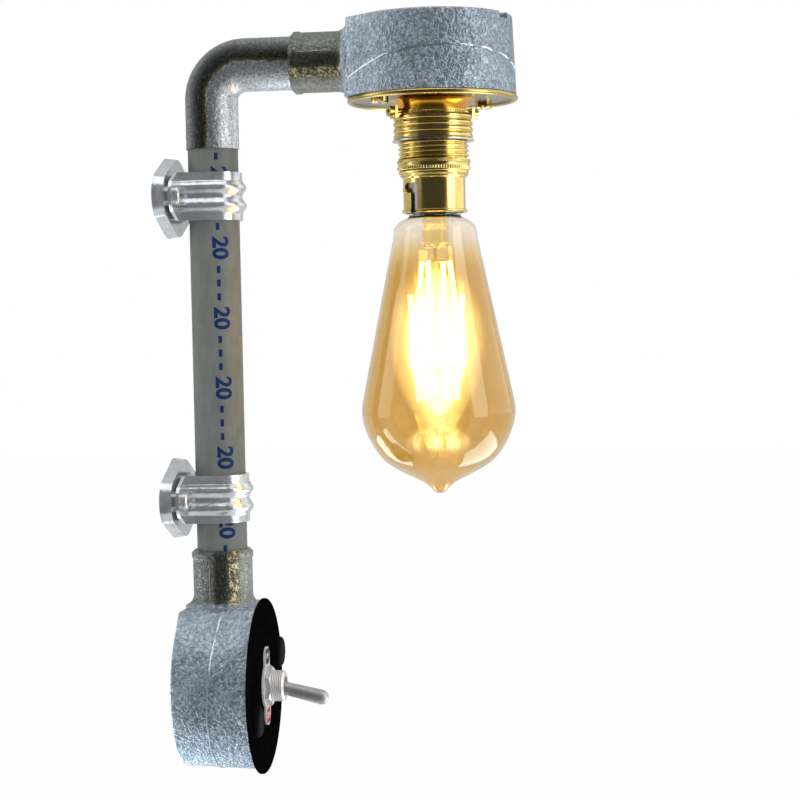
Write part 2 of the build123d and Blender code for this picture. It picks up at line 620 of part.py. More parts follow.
# ---------------------------------------------------------------- lampholder
def make_back_plate():
    """The brass plate with its rolled edge and the spun collar that the holder hangs on."""
    rim = PLATE_OD / 2
    top_r, neck = COLLAR_TOP_OD / 2, COLLAR_NECK_OD / 2
    bore = neck - COLLAR_SHEET
    tube_r = FLANGE_R
    knee = UNION_TOP - KNEE_EASE
    mid_flare = ((top_r + neck) / 2 - 0.7, (PLATE_FACE + COLLAR_FOOT) / 2 + 0.3)
    outline = (
        Line((bore, PLATE_TOP), (rim - PLATE_ROLL, PLATE_TOP))
        + ThreePointArc((rim - PLATE_ROLL, PLATE_TOP), (rim, PLATE_TOP - PLATE_ROLL),
                        (rim - PLATE_ROLL, PLATE_TOP - 2 * PLATE_ROLL))
        + Polyline((rim - PLATE_ROLL, PLATE_TOP - 2 * PLATE_ROLL),
                   (rim - 2 * PLATE_ROLL, PLATE_FACE), (top_r, PLATE_FACE))
        + ThreePointArc((top_r, PLATE_FACE), mid_flare, (neck, COLLAR_FOOT))
        + Polyline((neck, COLLAR_FOOT), (neck, knee), (tube_r, knee - KNEE), (tube_r, BLOCK_SEAT),
                   (bore, BLOCK_SEAT), (bore, PLATE_TOP))
    )
    body = turned_wire(outline)
    for angle in LAMP_LUGS:
        hole = Pos(*at_angle(LUG_PCD / 2, seen_from_above(angle))) * Circle(LUG_SCREW_OD / 2 + 0.2)
        body = body - plate(hole, PLATE_FACE, PLATE_TOP)
    return Pos(0, Y_LAMP, 0) * body


def make_plate_screws():
    """Two cheese head screws up through the plate into the lamp box's lugs."""
    screws = []
    for angle in LAMP_LUGS:
        head = plate(Circle(3.4), PLATE_FACE - 2.2, PLATE_FACE)
        head = chamfer(head.edges().filter_by(GeomType.CIRCLE).sort_by(Axis.Z)[0], 0.4)
        slot = plate(Rectangle(8, 1.0), PLATE_FACE - 2.2, PLATE_FACE - 1.2)
        shank = plate(Circle(LUG_SCREW_OD / 2), PLATE_FACE, PLATE_TOP + LUG_TAPPED - 3)
        place = Pos(*at_angle(LUG_PCD / 2, seen_from_above(angle)), 0)
        screws.append(Pos(0, Y_LAMP, 0) * place * (head - slot + shank))
    return Compound(screws)


def ribbed_side(radius, rib, count, low, high):
    """Outline of a ribbed wall from low to high: rounded crests with valleys between."""
    pitch = (high - low) / count
    line = Curve()
    for i in range(count):
        start = low + i * pitch
        line = line + ThreePointArc((radius - rib, start), (radius, start + pitch / 2),
                                    (radius - rib, start + pitch))
    return line


def make_union_ring():
    """The ribbed ring that clamps the skirt and the block up to the collar."""
    radius = UNION_OD / 2
    root = radius - UNION_RIB
    knurl = UNION_KNURL_OD / 2
    knurl_top = UNION_TOP + UNION_KNURL_HEIGHT
    throat = COLLAR_NECK_OD / 2 + FIT
    bore = UNION_BORE / 2
    lip = BARREL_OD / 2 + FIT
    shelf = UNION_TOP - KNEE_EASE + RUN
    outline = (
        ribbed_side(radius, UNION_RIB, UNION_RIBS, UNION_FOOT, UNION_TOP)
        + Polyline((root, UNION_TOP), (knurl, UNION_TOP), (knurl, knurl_top), (throat, knurl_top),
                   (throat, shelf), (bore, shelf - KNEE), (bore, FLANGE_FOOT),
                   (lip, FLANGE_FOOT), (lip, UNION_FOOT), (root, UNION_FOOT))
    )
    ring = turned_wire(outline)
    ear_r = radius + EAR_STANDS_OUT
    ear_low = UNION_TOP - EAR_TAB
    tab_length = EAR_STANDS_OUT + UNION_RIB + EASE
    across = (Align.MAX, Align.CENTER, Align.MIN)
    for turn in (0, 180):
        tab = Pos(ear_r, 0, ear_low) * Box(tab_length, EAR_WIDTH, EAR_TAB, align=across)
        upright = Pos(ear_r, 0, ear_low) * Box(EAR_SHEET, EAR_WIDTH, EAR_HEIGHT, align=across)
        hole = rod(COVER_SCREW_OD / 2 + FIT, (0, 0, COVER_SCREW_HEIGHT), (ear_r, 0, COVER_SCREW_HEIGHT))
        ring = ring + Rot(0, 0, COVER_SCREW_ANGLE + turn) * (tab + upright)
        ring = ring - Rot(0, 0, COVER_SCREW_ANGLE + turn) * hole
    return Pos(0, Y_LAMP, 0) * ring


def make_cover_screws():
    """Two small screws through the ring's ears that bear on the collar's neck."""
    outer = UNION_OD / 2 + EAR_STANDS_OUT
    tip = COLLAR_NECK_OD / 2 + EASE
    end = outer + COVER_SCREW_HEAD_LENGTH
    screws = []
    for turn in (0, 180):
        shank = rod(COVER_SCREW_OD / 2, (tip, 0, COVER_SCREW_HEIGHT), (outer, 0, COVER_SCREW_HEIGHT))
        head = rod(COVER_SCREW_HEAD / 2, (outer, 0, COVER_SCREW_HEIGHT), (end, 0, COVER_SCREW_HEIGHT))
        cross = Pos(end, 0, COVER_SCREW_HEIGHT) * (Box(1.6, 2.6, 0.7) + Box(1.6, 0.7, 2.6))
        screws.append(Pos(0, Y_LAMP, 0) * Rot(0, 0, COVER_SCREW_ANGLE + turn) * (head + shank - cross))
    return Compound(screws)


def make_carrier_ring():
    """The thin steel ring under the union ring."""
    ring = tube(CARRIER_OD / 2, BARREL_OD / 2 + FIT, CARRIER_FOOT, UNION_FOOT)
    return Pos(0, Y_LAMP, 0) * ring


def make_skirt():
    """Barrel and skirt in one spun piece, with a bayonet slot on each side."""
    barrel, skirt = BARREL_OD / 2, SKIRT_OD / 2
    bore, inner = BARREL_BORE_R, SKIRT_BORE_R
    roll = SKIRT_ROLL
    outline = (
        Polyline((inner, SKIRT_FOOT), (skirt, SKIRT_FOOT))
        + ThreePointArc((skirt, SKIRT_FOOT), (skirt + roll, SKIRT_FOOT + roll),
                        (skirt, SKIRT_FOOT + 2 * roll))
        + Polyline((skirt, SKIRT_FOOT + 2 * roll), (skirt, SHOULDER - 0.6), (barrel, SHOULDER),
                   (barrel, FLANGE_FOOT), (FLANGE_R, FLANGE_FOOT), (FLANGE_R, FLANGE_TOP),
                   (bore, FLANGE_TOP), (bore, SHOULDER), (inner, SHOULDER - 0.6), (inner, SKIRT_FOOT))
    )
    body = turned_wire(outline)
    seat_low = PIN_HEIGHT - LAMP_PIN_OD / 2 - FIT
    seat_high = PIN_HEIGHT + LAMP_PIN_OD / 2 + SLOT_HEADROOM
    low_r, high_r = inner - 1, skirt + 2
    hook = make_face(Plane.XZ * Polyline((low_r, seat_low), (high_r, seat_low), (high_r, seat_high),
                                         (low_r, seat_high), close=True))
    sweep_angle = SLOT_ENTRY_ANGLE - SLOT_SEAT_ANGLE
    half_slot = SLOT_WIDTH / 2
    for turn in (0, 180):
        across = Rot(0, 0, SLOT_SEAT_ANGLE + turn) * revolve(hook, Axis.Z, sweep_angle)
        entry = plate(Pos(high_r / 2, 0) * Rectangle(high_r, SLOT_WIDTH), SKIRT_FOOT - 1,
                      seat_high - half_slot)
        crown = rod(half_slot, (0, 0, seat_high - half_slot), (high_r, 0, seat_high - half_slot))
        end_rise = (seat_high - seat_low) / 2
        seat = rod(end_rise, (0, 0, seat_low + end_rise), (high_r, 0, seat_low + end_rise))
        body = body - across
        body = body - Rot(0, 0, SLOT_ENTRY_ANGLE + turn) * (entry + crown)
        body = body - Rot(0, 0, SLOT_SEAT_ANGLE + turn) * seat
    return Pos(0, Y_LAMP, 0) * body


def make_shade_ring():
    """The knurled ring that runs on the barrel's thread."""
    outer, bore = SHADE_RING_OD / 2, SHADE_BORE_R
    ring = turned([(bore, SHADE_SPLIT), (outer - 0.4, SHADE_SPLIT), (outer, SHADE_SPLIT + 0.4),
                   (outer, SHADE_TOP - 0.4), (outer - 0.4, SHADE_TOP), (bore, SHADE_TOP)])
    return Pos(0, Y_LAMP, 0) * ring


def make_shade_lip():
    """The plain brass ring crimped under the shade ring; it rises with it without turning."""
    outer, bore = SHADE_LIP_OD / 2, SHADE_BORE_R
    top = SHADE_SPLIT - FIT
    ring = turned([(bore, SHADE_FOOT), (outer - 0.5, SHADE_FOOT), (outer, SHADE_FOOT + 0.8),
                   (outer, top - 0.3), (outer - 0.3, top), (bore, top)])
    return Pos(0, Y_LAMP, 0) * ring


def make_holder_block():
    """The moulded block: a flange held by the union ring, wells for the plungers below."""
    flange, neck, low = FLANGE_R, BLOCK_NECK_OD / 2, BLOCK_BODY_OD / 2
    top = BLOCK_TOP
    body = turned([(0, BLOCK_FOOT), (low, BLOCK_FOOT), (low, FLANGE_TOP), (flange, FLANGE_TOP),
                   (flange, BLOCK_SEAT), (neck, BLOCK_SEAT), (neck, top), (0, top)])
    for place in PLUNGER_PLACES:
        well = place * Circle(PLUNGER_OD / 2 + RUN)
        body = body - plate(well, BLOCK_FOOT, WELL_TOP)
    # A raised wall keeps the two terminals apart.
    wall = plate(Rot(0, 0, PLUNGER_ANGLE) * Rectangle(1.6, 16), top, top + 5)
    return Pos(0, Y_LAMP, 0) * (body + wall)


def make_contact_plungers():
    """Two sprung brass plungers that press on the lamp's contacts."""
    plungers = []
    radius = PLUNGER_OD / 2
    for place in PLUNGER_PLACES:
        body = plate(Circle(radius), CONTACT_TOP, CONTACT_TOP + PLUNGER_LENGTH)
        body = fillet(body.edges().filter_by(GeomType.CIRCLE).sort_by(Axis.Z)[0], radius * 0.5)
        plungers.append(Pos(0, Y_LAMP, 0) * place * body)
    return Compound(plungers)


def make_plunger_springs():
    """The springs above the plungers, drawn as the sleeves they fill."""
    springs = []
    for place in PLUNGER_PLACES:
        sleeve = tube(PLUNGER_OD / 2 - 0.2, PLUNGER_OD / 2 - 0.9, CONTACT_TOP + PLUNGER_LENGTH, WELL_TOP)
        springs.append(Pos(0, Y_LAMP, 0) * place * sleeve)
    return Compound(springs)


def terminal_pillar(low):
    """A brass pillar with a well for the wire and a clamping screw in its side."""
    radius, height, well = WIRE_OD / 2 + 1.5, 6.0, 2.5
    screw_at = low + 4.2
    pillar = plate(Circle(radius), low, low + height)
    screw = rod(1.2, (0, 0, screw_at), (0, radius + 2, screw_at))
    head = rod(1.8, (0, radius + 1, screw_at), (0, radius + 2, screw_at))
    return pillar + screw + head - plate(Circle(WIRE_OD / 2 + FIT), low + well, low + height)


def make_holder_terminals():
    """A pillar over each plunger."""
    pillars = []
    low = BLOCK_TOP
    for place in PLUNGER_PLACES:
        pillars.append(Pos(0, Y_LAMP, 0) * place * terminal_pillar(low))
    return Compound(pillars)


def make_earth_terminal():
    """A third pillar that bonds the brass plate."""
    return Pos(0, Y_LAMP + EARTH_OFFSET, 0) * terminal_pillar(PLATE_TOP)


# ---------------------------------------------------------------- lamp
def make_lamp_cap():
    """The plated cap shell with its black insulator on top held inside the rim."""
    outer = LAMP_CAP_OD / 2
    inner = outer - LAMP_CAP_SHEET
    neck = GLASS_NECK_OD / 2 + FIT
    shell = turned([(neck, CAP_FOOT), (outer, CAP_FOOT), (outer, CAP_TOP - 1.2), (outer - 1.2, CAP_TOP),
                    (outer - 2.6, CAP_TOP), (outer - 2.6, CAP_TOP - 0.6), (inner, CAP_TOP - 1.6),
                    (inner, CAP_TOP - 3.2), (neck, CAP_TOP - 3.2)])
    return Pos(0, Y_LAMP, 0) * shell


def make_cap_insulator():
    """The black disc that carries the two contacts."""
    rim = LAMP_CAP_OD / 2 - 2.6 - FIT
    return Pos(0, Y_LAMP, 0) * plate(Circle(rim), CAP_TOP - 2.0, CAP_TOP + LAMP_INSULATOR)


def make_lamp_contacts():
    pads = []
    for place in PLUNGER_PLACES:
        pad = plate(Circle(2.4), CONTACT_TOP - LAMP_CONTACT, CONTACT_TOP)
        pad = fillet(pad.edges().filter_by(GeomType.CIRCLE).sort_by(Axis.Z)[-1], LAMP_CONTACT * 0.6)
        pads.append(Pos(0, Y_LAMP, 0) * place * pad)
    return Compound(pads)


def make_lamp_pins():
    """The two bayonet pins, in line across the cap."""
    pins = []
    shell = Pos(0, 0, PIN_HEIGHT) * Cylinder(LAMP_CAP_OD / 2, 4 * LAMP_PIN_OD)
    for turn in (0, 180):
        pin = rod(LAMP_PIN_OD / 2, (0, 0, PIN_HEIGHT), (LAMP_PIN_SPAN / 2, 0, PIN_HEIGHT)) - shell
        pins.append(Pos(0, Y_LAMP, 0) * Rot(0, 0, SLOT_SEAT_ANGLE + turn) * pin)
    return Compound(pins)


def glass_outline(inset):
    """Half outline of the bulb from its neck to its tip, inset by a wall."""
    neck = GLASS_NECK_OD / 2 - inset
    # Pushed home, the glass still clears the skirt's mouth.
    neck_z = SKIRT_FOOT - LAMP_PUSH / 2
    shoulder_z = SKIRT_FOOT - GLASS_SHOULDER_DROP
    shoulder = GLASS_SHOULDER_R - inset
    wide = GLASS_OD / 2 - inset
    belly = wide - GLASS_BELLY_EASE
    slope = (belly - shoulder) / GLASS_CONE_LENGTH
    belly_z = shoulder_z - GLASS_CONE_LENGTH
    widest_z = belly_z - 2 * GLASS_BELLY_EASE / slope
    crown_z = GLASS_TIP + GLASS_NIPPLE + inset
    crown = NIPPLE_R - inset / 2
    down = (slope, -1)
    return (
        Line((neck, GLASS_TOP), (neck, neck_z))
        + Spline((neck, neck_z), (neck + 1.3, neck_z - 1.3), (shoulder - 2.4, shoulder_z + 6.1),
                 (shoulder - 0.7, shoulder_z + 4.0), (shoulder, shoulder_z), tangents=((0, -1), down))
        + Line((shoulder, shoulder_z), (belly, belly_z))
        + Spline((belly, belly_z), (wide, widest_z), (wide * 0.82, (widest_z + crown_z) / 2 - 1.1),
                 (crown, crown_z), tangents=(down, (-1, -0.5)))
        + Spline((crown, crown_z), (crown * 0.45, crown_z - 0.58 * GLASS_NIPPLE), (0, GLASS_TIP + inset),
                 tangents=((-1, -0.5), (-1, 0)))
    )


def make_glass():
    solids = []
    for inset in (0, GLASS_WALL):
        half = glass_outline(inset)
        closing = Polyline((0, GLASS_TIP + inset), (0, GLASS_TOP), (GLASS_NECK_OD / 2 - inset, GLASS_TOP))
        solids.append(turned_wire(half + closing))
    return Pos(0, Y_LAMP, 0) * (solids[0] - solids[1])


def make_stem():
    """The glass stem: a flare sealed to the neck and a closed tube that carries the wires."""
    outer, inner = STEM_OD / 2, STEM_OD / 2 - STEM_WALL
    flare = GLASS_NECK_OD / 2 - GLASS_WALL - FIT
    top = GLASS_TOP - 0.2
    outline = [(inner, top), (flare, top), (flare, top - 0.8), (outer, top - 3.5), (outer, STEM_FOOT + 1.5),
               (outer - 1.5, STEM_FOOT), (0, STEM_FOOT), (0, STEM_FOOT + 2.5), (inner, STEM_FOOT + 2.5)]
    return Pos(0, Y_LAMP, 0) * turned(outline)


def filament_ends():
    """Top and bottom of each filament: an outer tier and an inner tier, turn about."""
    ends = []
    for i in range(FILAMENTS):
        angle = 360 / FILAMENTS * (i + 0.5)
        if i % 2:
            top, foot = (6.2, STEM_FOOT - 5.0), (10.6, STEM_FOOT - 47.0)
        else:
            top, foot = (10.8, STEM_FOOT - 18.0), (8.6, STEM_FOOT - 60.0)
        ends.append(((*at_angle(top[0], angle), top[1]), (*at_angle(foot[0], angle + 14), foot[1])))
    return ends


def make_filaments():
    sticks = [rod(FILAMENT_OD / 2, top, foot) for top, foot in filament_ends()]
    return Pos(0, Y_LAMP, 0) * Compound(sticks)


def make_filament_wires():
    """A centre rod out of the stem with an arm to each end of each filament."""
    ends = [end for pair in filament_ends() for end in pair]
    frame = rod(FRAME_ROD_OD / 2, (0, 0, STEM_FOOT), (0, 0, min(z for x, y, z in ends)))
    for x, y, z in ends:
        share = 1 - (FILAMENT_OD / 2 + FIT) / sqrt(x * x + y * y)
        frame = frame + rod(FRAME_WIRE_OD / 2, (0, 0, z), (x * share, y * share, z))
    return Pos(0, Y_LAMP, 0) * frame


# ---------------------------------------------------------------- wiring
def make_connector_block():
    """A moulded terminal strip on the switch box's floor, its screws facing the lid."""
    width, length, depth = CONNECTOR_SIZE
    block = plate(RectangleRounded(length, width, 0.8), BOX_FLOOR_TOP, BOX_FLOOR_TOP + depth)
    for pole in (-1, 0, 1):
        well = Pos(pole * length / 3, 0) * Circle(1.7)
        block = block - plate(well, BOX_FLOOR_TOP + depth * 0.55, BOX_FLOOR_TOP + depth)
    return SWITCH_BOX_AT * (Pos(-CONNECTOR_DROP, -CONNECTOR_X, 0) * block)


def make_connector_screws():
    length, depth = CONNECTOR_SIZE[1:]
    screws = []
    for pole in (-1, 0, 1):
        screw = plate(Circle(1.6), BOX_FLOOR_TOP + depth * 0.55, BOX_FLOOR_TOP + depth - 1.2)
        screws.append(Pos(pole * length / 3 - CONNECTOR_DROP, -CONNECTOR_X, 0) * screw)
    return SWITCH_BOX_AT * Compound(screws)


def wire_along(points, radii):
    """A wire through points, each corner rounded to its own radius."""
    line = FilletPolyline(*points, radius=radii)
    start = Plane(origin=line @ 0, z_dir=line % 0)
    return sweep(start * Circle(WIRE_OD / 2), path=line)


def up_and_over(start, side, lean, landing):
    """A wire up the conduit, round the elbow and down to a terminal at (y, height)."""
    y_rise = Y_CONDUIT + lean
    z_run = ARM_HEIGHT + lean
    y_land, z_land = landing
    rise_from = Z_SWITCH + SPOUT_REACH - SPOUT_THREAD - 6
    points = [*start, (side, y_rise, rise_from), (side, y_rise, z_run), (side, y_land, z_run),
              (side, y_land, z_land)]
    corners = [WIRE_BEND] * (len(start) - 1) + [WIRE_BEND, ELBOW_BEND + lean, 3 * WIRE_BEND]
    return wire_along(points, corners)


def pillar_spot(side):
    """Where a wire lands in the pillar on one side of the lampholder."""
    x, y = at_angle(PLUNGER_PITCH / 2, PLUNGER_ANGLE)
    return x * side, Y_LAMP + y * side


def make_live_wire():
    x, y = pillar_spot(1)
    foot_z = Z_SWITCH + TERMINAL_PITCH / 2 + TERMINAL_SHEET / 2
    y_start = Y_CONDUIT - BODY_FOOT + TERMINAL_REACH - WIRE_OD / 2
    start = [(0, y_start, foot_z), (0, y_start, foot_z + 2 * WIRE_OD)]
    return up_and_over(start, x, WIRE_LEAN, (y, BLOCK_TOP + 2.5))


def connector_pole(pole):
    """Height of one pole of the connector and the side face that its wire leaves by."""
    return CONNECTOR_X - CONNECTOR_SIZE[0] / 2, Z_SWITCH - CONNECTOR_DROP + pole * CONNECTOR_SIZE[1] / 3


def make_neutral_wire():
    x, y = pillar_spot(-1)
    face, z = connector_pole(1)
    y_start = Y_CONDUIT - BOX_FLOOR_TOP - 5.2
    start = [(face, y_start, z), (face - 3.4, y_start, z), (face - 3.4, y_start, z + 16)]
    return up_and_over(start, x, WIRE_LEAN, (y, BLOCK_TOP + 2.5))


def make_earth_wire():
    face, z = connector_pole(0)
    y_start = Y_CONDUIT - BOX_FLOOR_TOP - 1.7
    start = [(face, y_start, z), (face - 4.2, y_start, z), (face - 4.2, y_start, z + 16)]
    return up_and_over(start, 0, EARTH_LEAN, (Y_LAMP + EARTH_OFFSET, PLATE_TOP + 2.5))


def make_link_wire():
    """The short wire from the connector to the switch's other terminal."""
    face, z = connector_pole(-1)
    y_start = Y_CONDUIT - BODY_FOOT + TERMINAL_REACH - WIRE_OD / 2
    blade = Z_SWITCH - TERMINAL_PITCH / 2 - TERMINAL_SHEET / 2
    return wire_along([(face, y_start, z), (0, y_start, z), (0, y_start, blade)], WIRE_BEND)


# ---------------------------------------------------------------- all the pieces
PIECES = {
    "conduit": make_conduit,
    "elbow": make_elbow,
    "lamp_box": make_lamp_box,
    "switch_box": make_switch_box,
    "cable_grommet": make_cable_grommet,
    "switch_lid": make_switch_lid,
    "lid_screws": make_lid_screws,
    "legend_plate": make_legend_plate,
    "switch_nut": make_switch_nut,
    "lock_washer": make_lock_washer,
    "switch_bush": make_switch_bush,
    "pivot_pin": make_pivot_pin,
    "switch_frame": make_switch_frame,
    "switch_body": make_switch_body,
    "switch_terminals": make_switch_terminals,
    "toggle_lever": make_toggle_lever,
    "back_plate": make_back_plate,
    "plate_screws": make_plate_screws,
    "union_ring": make_union_ring,
    "cover_screws": make_cover_screws,
    "carrier_ring": make_carrier_ring,
    "skirt": make_skirt,
    "shade_ring": make_shade_ring,
    "shade_lip": make_shade_lip,
    "holder_block": make_holder_block,
    "contact_plungers": make_contact_plungers,
    "plunger_springs": make_plunger_springs,
    "holder_terminals": make_holder_terminals,
    "earth_terminal": make_earth_terminal,
    "lamp_cap": make_lamp_cap,
    "cap_insulator": make_cap_insulator,
    "lamp_contacts": make_lamp_contacts,
    "lamp_pins": make_lamp_pins,
    "lamp_glass": make_glass,
    "lamp_stem": make_stem,
    "filaments": make_filaments,
    "filament_wires": make_filament_wires,
    "connector_block": make_connector_block,
    "connector_screws": make_connector_screws,
    "live_wire": make_live_wire,
    "neutral_wire": make_neutral_wire,
    "earth_wire": make_earth_wire,
    "link_wire": make_link_wire,
}
SADDLES = {"upper": SADDLE_SPACING / 2, "lower": -SADDLE_SPACING / 2}
SADDLE_PIECES = {
    "saddle_base": make_saddle_base,
    "saddle_strap": make_saddle_strap,
    "saddle_screws": make_saddle_screws,
}

os.makedirs("parts", exist_ok=True)
for name, make in PIECES.items():
    export_step(make(), f"parts/{name}.step")
for place, height in SADDLES.items():
    for name, make in SADDLE_PIECES.items():
        export_step(make(height), f"parts/{place}_{name}.step")
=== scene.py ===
from math import cos, pi, radians, sin, sqrt

import bmesh
import bpy
from mathutils import Matrix, Vector


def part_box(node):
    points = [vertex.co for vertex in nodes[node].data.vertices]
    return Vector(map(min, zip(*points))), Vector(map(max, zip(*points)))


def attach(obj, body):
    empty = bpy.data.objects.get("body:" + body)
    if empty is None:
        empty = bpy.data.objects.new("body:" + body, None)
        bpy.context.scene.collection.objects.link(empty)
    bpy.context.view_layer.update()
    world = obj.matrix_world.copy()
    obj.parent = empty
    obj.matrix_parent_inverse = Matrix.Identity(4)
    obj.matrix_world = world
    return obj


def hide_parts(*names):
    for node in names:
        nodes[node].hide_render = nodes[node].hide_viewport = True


MM = 0.001
X, Y, Z = 0, 1, 2
LOW, HIGH = 0, 1

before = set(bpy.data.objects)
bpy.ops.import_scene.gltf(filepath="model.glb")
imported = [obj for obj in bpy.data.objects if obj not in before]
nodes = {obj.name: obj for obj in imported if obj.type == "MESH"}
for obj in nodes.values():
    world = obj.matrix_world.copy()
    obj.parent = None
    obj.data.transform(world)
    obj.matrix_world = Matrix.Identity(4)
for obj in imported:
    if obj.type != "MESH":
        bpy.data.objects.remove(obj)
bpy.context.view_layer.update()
scene = bpy.context.scene


def box_of(node):
    """Lowest and highest corner of a CAD node, in mm to a hundredth."""
    return [[round(v / MM, 2) for v in corner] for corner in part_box(node)]


def middle_of(node, axis):
    """Where the middle of a CAD node lies along one axis, in mm."""
    low, high = box_of(node)
    return (low[axis] + high[axis]) / 2


# Places and sizes in mm, read from the frame where a node's box shows them.
LAMP_AXIS = middle_of("shade_ring", Y)         # y of the lamp's upright axis
CONDUIT_AXIS = middle_of("conduit", Y)         # y of the conduit's upright axis
ARM_HEIGHT = middle_of("lamp_box", Z)
SWITCH_HEIGHT = middle_of("switch_nut", Z)
CONDUIT_R = box_of("conduit")[HIGH][X]
ELBOW_R = box_of("elbow")[HIGH][X] - 0.05      # just under its skin
ELBOW_LEG = ARM_HEIGHT - box_of("elbow")[LOW][Z]   # from the crossing of its axes to its ends
ELBOW_BEND = 13.8                              # radius of the elbow's centre line
BOX_HALF_DEPTH = box_of("lamp_box")[HIGH][Z] - ARM_HEIGHT
BOX_BACK_R, BOX_FRONT_R = 31.8, 33.0
SPOUT_R = CONDUIT_R + 1.92
# Along a spout, from the middle of its box: where it leaves the box, its plain length, its mouth.
SPOUT_ROOT, SPOUT_START = 33.4, 37.5
SPOUT_MOUTH = box_of("lamp_box")[HIGH][Y] - LAMP_AXIS
SPOUT_END = SPOUT_MOUTH - 3.7
COLLAR_R, ROLLED_EDGE_R = 16.3, 31.6           # on the brass plate
TAG_FACE = box_of("legend_plate")[LOW][Y]      # y of its front
LEGEND_OFF = 11.9                              # from the switch's middle to the middle of each legend

LAMP_Y = LAMP_AXIS * MM
CONDUIT_Y = CONDUIT_AXIS * MM
ARM_Z = ARM_HEIGHT * MM
SWITCH_Z = SWITCH_HEIGHT * MM


# ---------------------------------------------------------------- camera
def make_camera():
    azimuth, elevation, roll = radians(-82.574), radians(2.214), radians(-1.196)
    target = Vector((0, -0.09215, -0.02206))
    distance = 0.7919
    back = Vector((sin(azimuth) * cos(elevation), -cos(azimuth) * cos(elevation), sin(elevation)))
    right = Vector((0, 0, 1)).cross(back).normalized()
    up = back.cross(right)
    image_right = right * cos(roll) + up * sin(roll)
    image_up = -right * sin(roll) + up * cos(roll)
    data = bpy.data.cameras.new("camera")
    data.lens = 90
    data.sensor_width = 36
    data.clip_start = 0.01
    data.clip_end = 50
    camera = bpy.data.objects.new("camera", data)
    turn = Matrix((image_right, image_up, back)).transposed().to_4x4()
    camera.matrix_world = Matrix.Translation(target + back * distance) @ turn
    scene.collection.objects.link(camera)
    scene.camera = camera


# ---------------------------------------------------------------- node helpers
class Tree:
    """A node tree with short ways to add nodes."""

    def __init__(self, tree):
        self.tree = tree

    def add(self, kind, **settings):
        node = self.tree.nodes.new(kind)
        for key, value in settings.items():
            setattr(node, key, value)
        return node

    def link(self, source, target):
        self.tree.links.new(source, target)

    def math(self, operation, a, b=0.0, clamp=False):
        node = self.add("ShaderNodeMath", operation=operation, use_clamp=clamp)
        for i, value in enumerate((a, b)):
            if isinstance(value, (int, float)):
                node.inputs[i].default_value = value
            else:
                self.link(value, node.inputs[i])
        return node.outputs[0]

    def plus(self, a, b):
        return self.math("ADD", a, b)

    def minus(self, a, b):
        return self.math("SUBTRACT", a, b)

    def times(self, a, b):
        return self.math("MULTIPLY", a, b)

    def span(self, value, low, high, to_low, to_high, smooth=False):
        node = self.add("ShaderNodeMapRange", interpolation_type="SMOOTHSTEP" if smooth else "LINEAR")
        for name, number in (("From Min", low), ("From Max", high), ("To Min", to_low), ("To Max", to_high)):
            node.inputs[name].default_value = number
        self.link(value, node.inputs["Value"])
        return node.outputs["Result"]

    def choose(self, share, a, b):
        """a where share is 1, b where it is 0."""
        return self.plus(self.times(share, a), self.times(self.minus(1.0, share), b))

    def parts(self, vector):
        split = self.add("ShaderNodeSeparateXYZ")
        self.link(vector, split.inputs[0])
        return split.outputs


